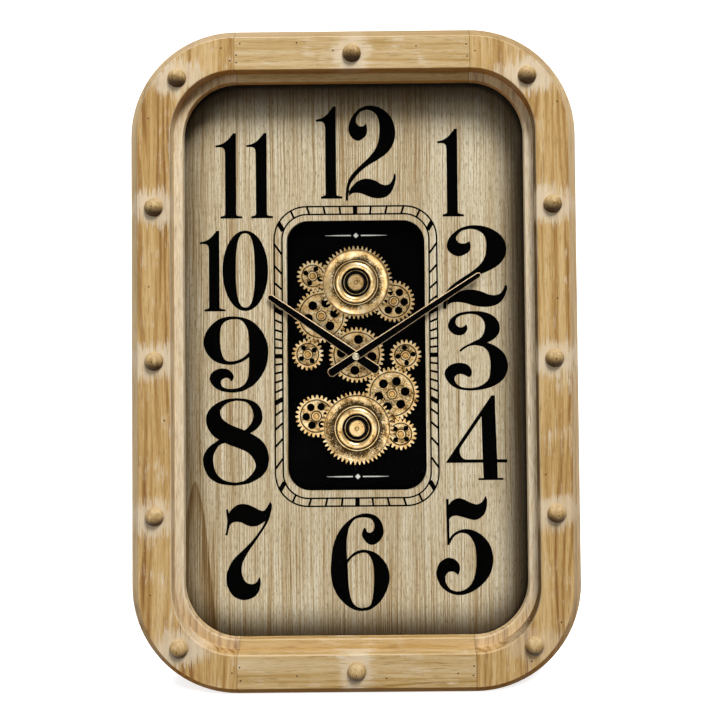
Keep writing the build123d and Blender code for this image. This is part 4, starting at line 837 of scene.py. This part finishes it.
RAIL_WOODS = ("#97753F", "#B6965F", "#C6A978", "#D4BD96")
STILE_WOODS = ("#8A6235", "#B08A52", "#C8A66E", "#DBC093")
STRIP_WOODS = ("#A98352", "#C2A06C", "#D3B788")
SPACER_SHADE_BLACKS = ("#0E0C09", "#17130E", "#221C14")
HARDBOARD = ("#6A4A2C", "#80603C", "#94734B")
finish(material("oiled_pine_rail", oiled_pine, True, 1.3, RAIL_WOODS, "#CFAB70", 0.48), "top_rail", "bottom_rail")
finish(material("oiled_pine_side", oiled_pine, False, 4.1, STILE_WOODS, "#F0E2C6", 0.84), "left_stile", "right_stile")
finish(material("turned_pine_button", turned_button), "frame_buttons")
finish(material("oak_veneer_dial", dial_veneer), "dial_panel")
finish(material("raw_pine_strip", raw_board, STRIP_WOODS, (700.0, 700.0, 30.0), 0.75),
       "dial_strip_left", "dial_strip_right")
# painted shade: the glass spacer is coloured near black to stand for the shadow in the gap under the lip
finish(material("spacer_shade_black_pine", raw_board, SPACER_SHADE_BLACKS, (500.0, 500.0, 40.0), 0.7), "glass_spacer")
finish(material("raw_pine_strip_level", raw_board, STRIP_WOODS, (30.0, 700.0, 700.0), 0.75),
       "dial_strip_top", "dial_strip_bottom")
finish(material("brown_hardboard", raw_board, HARDBOARD, (420.0, 420.0, 420.0), 0.68), "back_panel")
finish(material("satin_black_board", black_plate), "gear_plate", "window_liner")
glass = material("float_glass", clear_glass)
glass.surface_render_method = "BLENDED"
finish(glass, "glass_pane")
finish(material("black_lacquer_hand", lacquered_hand), "hour_hand", "minute_hand")

# Root radius of each gear's teeth, in mm, and the turned lines and tarnish of the dished wheels.
TOOTH_ROOT = {
    "centre_gear": 26.62,
    "left_idler": 25.81,
    "right_idler": 25.81,
    "upper_right_gear": 19.35,
    "lower_left_gear": 19.35,
    "upper_left_pinion": 13.7,
    "left_pinion": 13.7,
    "right_pinion": 13.7,
    "lower_right_pinion": 13.7,
}
WHEEL_LINES = [(35.3, 0.40), (25.0, 0.55), (22.7, 0.55)]
WHEEL_TARNISH = {"upper": (24.8, 34.0, -0.10, 0.26), "lower": (24.8, 35.2, -0.16, 0.16)}
for gear, root in TOOTH_ROOT.items():
    lines = [(root - 1.9, 0.66), (5.4, 0.66), (3.1, 0.42)]
    tarnish = (6.0, root - 2.4, 0.03, 0.10)
    finish(material(f"antique_brass_{gear}", antique_brass, pivot[gear], lines, tarnish=tarnish), gear)
for level, tarnish in WHEEL_TARNISH.items():
    wheel, driver = f"{level}_wheel", f"{level}_driver"
    axle = pivot[wheel]
    finish(material(f"antique_brass_{wheel}", antique_brass, axle, WHEEL_LINES, tarnish=tarnish, hollow=True), wheel)
    # painted shade: each driver lies under its dished wheel and is darkened all over with dense speckles, as if in the
    # wheel's shade
    finish(material(f"shade_darkened_brass_{driver}", antique_brass, axle, [], tarnish=(3.0, 60.0, -0.30, -0.30)), driver)
    finish(material(f"antique_brass_{wheel}_cap", antique_brass, axle, [(8.3, 0.25), (2.0, 0.3)]), f"{wheel}_cap")

brass = material("turned_brass", plain_metal, ("#A57B3E", "#C99C58", "#E3BC7C"), 0.34)
steel = material("bright_zinc_steel", plain_metal, ("#8B8E91", "#B1B4B6", "#CFD1D2"), 0.36)
finish(brass, "gear_studs", "gear_washers", "upper_wheel_stud", "movement_bush", "mounting_nut", "bush_collar",
       "hour_sleeve", "minute_arbor")
finish(steel, "motor_shaft", "gear_plate_screws", "motor_screws", "back_panel_screws", "hanger_plates",
       "hanger_screws")
finish(material("nickel_cap", plain_metal, ("#948A6E", "#D3C9A8", "#F6F0DA"), 0.30, 500.0), "hand_cap")
finish(material("black_abs", moulded_abs, "#141414", "#202021"), "movement_case", "motor_case", "setting_knob")
for cell in ("movement_battery", "motor_battery"):
    low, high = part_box(cell)
    longest = max(range(3), key=lambda k: high[k] - low[k])
    finish(material(f"wrapped_cell_{cell}", wrapped_cell, "XYZ"[longest], low[longest], high[longest]), cell)

black_ink = material("black_screen_ink", printed_ink, ("#010101", "#030302"), 0.6)
white_ink = material("white_screen_ink", printed_ink, ("#D6D5CF", "#F2F1EC"), 0.5)
for hour, digits in HOURS.items():
    strips = []
    for digit, *box in digits:
        if digit == "0":
            drawn = [printed_nought()]
        else:
            drawn = [printed_stroke(kind, places) for owner, kind, places in NUMERAL_STROKES if owner == digit]
        strips += [fit_to_dial(grid, NUMERAL_GRID[digit], box) for grid in drawn]
    print_on(f"numeral_{hour}", strips, DIAL_FACE, black_ink)
track = [track_line(TRACK_OUTER), track_line(TRACK_INNER)] + track_ticks()
print_on("minute_track", track, DIAL_FACE, black_ink)
print_on("plate_rules", plate_rules(), PLATE_FACE, white_ink)

# Pins, in mm: radius, height and sunk depth of their heads, and the places of the nails from the dial centre.
NAIL_HEAD = (0.85, 0.12, 0.3)
BUTTON_PIN_HEAD = (0.9, 0.12, 0.3)
PIN_NAILS = [
    (-114.8, 324.6), (-56.6, 324.9), (-118.6, 312.7), (-118.6, 305.0), (-125.2, 307.0), (-134.2, 320.1),
    (-19.3, 316.5), (-208.8, 248.4), (117.4, 322.0), (118.2, 309.5), (126.5, 315.0), (66.0, 320.5),
    (210.0, 262.0), (207.4, 60.5), (193.0, -118.0), (207.0, -266.5), (176.4, -305.3), (118.2, -309.4),
    (102.0, -316.7), (117.6, -318.8), (30.0, -321.0), (-60.5, -318.0), (-117.4, -322.3), (-118.4, -309.0),
    (-126.0, -314.5), (-208.5, -236.0), (-193.5, -60.0), (-209.0, 76.0),
]
BUTTONS = [
    (side * x / MM, end * z / MM)
    for x, z in QUARTER_BUTTONS
    for side in ((1, -1) if x else (1,))
    for end in ((1, -1) if z else (1,))
]
pin_metal = material("rusted_iron_pin", plain_metal, ("#2A2017", "#3A2D20", "#5A4836"), 0.55)
worn_pin = material("worn_steel_pin", plain_metal, ("#3A2A1B", "#5E4932", "#8F7A5E"), 0.45)
low_heads("pin_nails", PIN_NAILS, *NAIL_HEAD, FRAME_FACE, pin_metal, "bright_steel")
low_heads("button_pins", BUTTONS, *BUTTON_PIN_HEAD, BUTTON_APEX, worn_pin, "bright_steel")

# Studio floor, in metres: a flat run from its front edge, then a quarter-round bend and an upright end.
FLOOR_FRONT = -2.2
FLOOR_RUN = 3.4
FLOOR_BEND = 0.9
FLOOR_RISE = 1.6
FLOOR_HALF = 3.0
FLOOR_ROWS, FLOOR_COLUMNS = 49, 9


def white_paper(add):
    """Matt white paper with a fibre of 3 mm, lit a little from within so that it stays white under the clock."""
    place = add("TexCoord").outputs["Object"]
    grain = add("TexNoise", {"Vector": place, "Scale": 300.0, "Detail": 2.0})
    return add("BsdfPrincipled", {
        "Base Color": add("ValToRGB", [grain], stops=[(0.3, "#D4D4D3"), (0.7, "#DADAD9")]),
        "Roughness": 0.9,
        "Emission Color": tint("#FFFFFF"),
        "Emission Strength": 0.76,
    })


def paper_grid():
    """Sheet of the floor: straight across, and along it flat for half its length, then turning up by a quarter circle
    whose last row is lifted to the upright end."""
    run = np.linspace(0, 1, FLOOR_ROWS)
    bend = np.clip((run - 0.5) * 2, 0, 1) * math.pi / 2
    y = FLOOR_FRONT + FLOOR_RUN * np.where(run < 0.5, run * 2, 1.0) + FLOOR_BEND * np.sin(bend)
    z = FLOOR_BEND * (1 - np.cos(bend)) + np.where(run == 1.0, FLOOR_RISE, 0.0)
    x = np.linspace(-FLOOR_HALF, FLOOR_HALF, FLOOR_COLUMNS)
    return np.stack(np.broadcast_arrays(x, y[:, None], z[:, None]), axis=-1)


floor = into_mesh("paper_sweep", [paper_grid()], np.array([0.0, -0.5, 1.0]))
floor.data.materials.append(material("matt_white_paper", white_paper))
floor.data.polygons.foreach_set("use_smooth", np.ones(len(floor.data.polygons), bool))
floor.visible_diffuse = False


def hang_light(name, place, aim, size, watts):
    """Studio soft box: a square area light at a place, turned to an aim."""
    lamp = bpy.data.lights.new(name, "AREA")
    lamp.shape, lamp.size, lamp.energy = "SQUARE", size, watts
    made = bpy.data.objects.new(name, lamp)
    scene.collection.objects.link(made)
    made.location = place
    made.rotation_euler = (Vector(aim) - Vector(place)).to_track_quat("-Z", "Y").to_euler()


hang_light("key_box", (1.5, -3.7, 5.0), (0.0, 0.0, 0.34), 2.0, 400.0)
hang_light("fill_box", (-1.7, -2.3, 0.3), (0.0, 0.0, 0.30), 1.6, 26.0)
hang_light("back_box", (-0.9, 1.3, 2.5), (0.0, 0.0, 0.34), 0.9, 65.0)
hang_light("top_box", (0.0, -0.9, 2.9), (0.0, 0.0, 0.1), 0.8, 8.0)

# White round the floor in every view, though it gives only a soft fill of light.
sky = bpy.data.worlds.new("studio_white")
sky.use_nodes = True
sky.node_tree.nodes.clear()
add = partial(add_node, sky.node_tree)
glow = add("MapRange", [add("LightPath").outputs["Is Camera Ray"], 0.0, 1.0, 0.16, 1.0])
backdrop = add("Background", {"Color": tint("#FFFFFF"), "Strength": glow})
add("OutputWorld", [backdrop])
scene.world = sky
scene.view_settings.view_transform = "Standard"

lens = bpy.data.cameras.new("photo_view")
lens.lens, lens.sensor_width, lens.shift_x, lens.shift_y = 35.69, 36.0, -0.0408, -0.1199
camera = bpy.data.objects.new("photo_view", lens)
scene.collection.objects.link(camera)
camera.location = (0.0375, -0.76215, 0.4131)
camera.rotation_euler = (math.radians(91.103), math.radians(0.531), math.radians(0.088))
scene.camera = camera
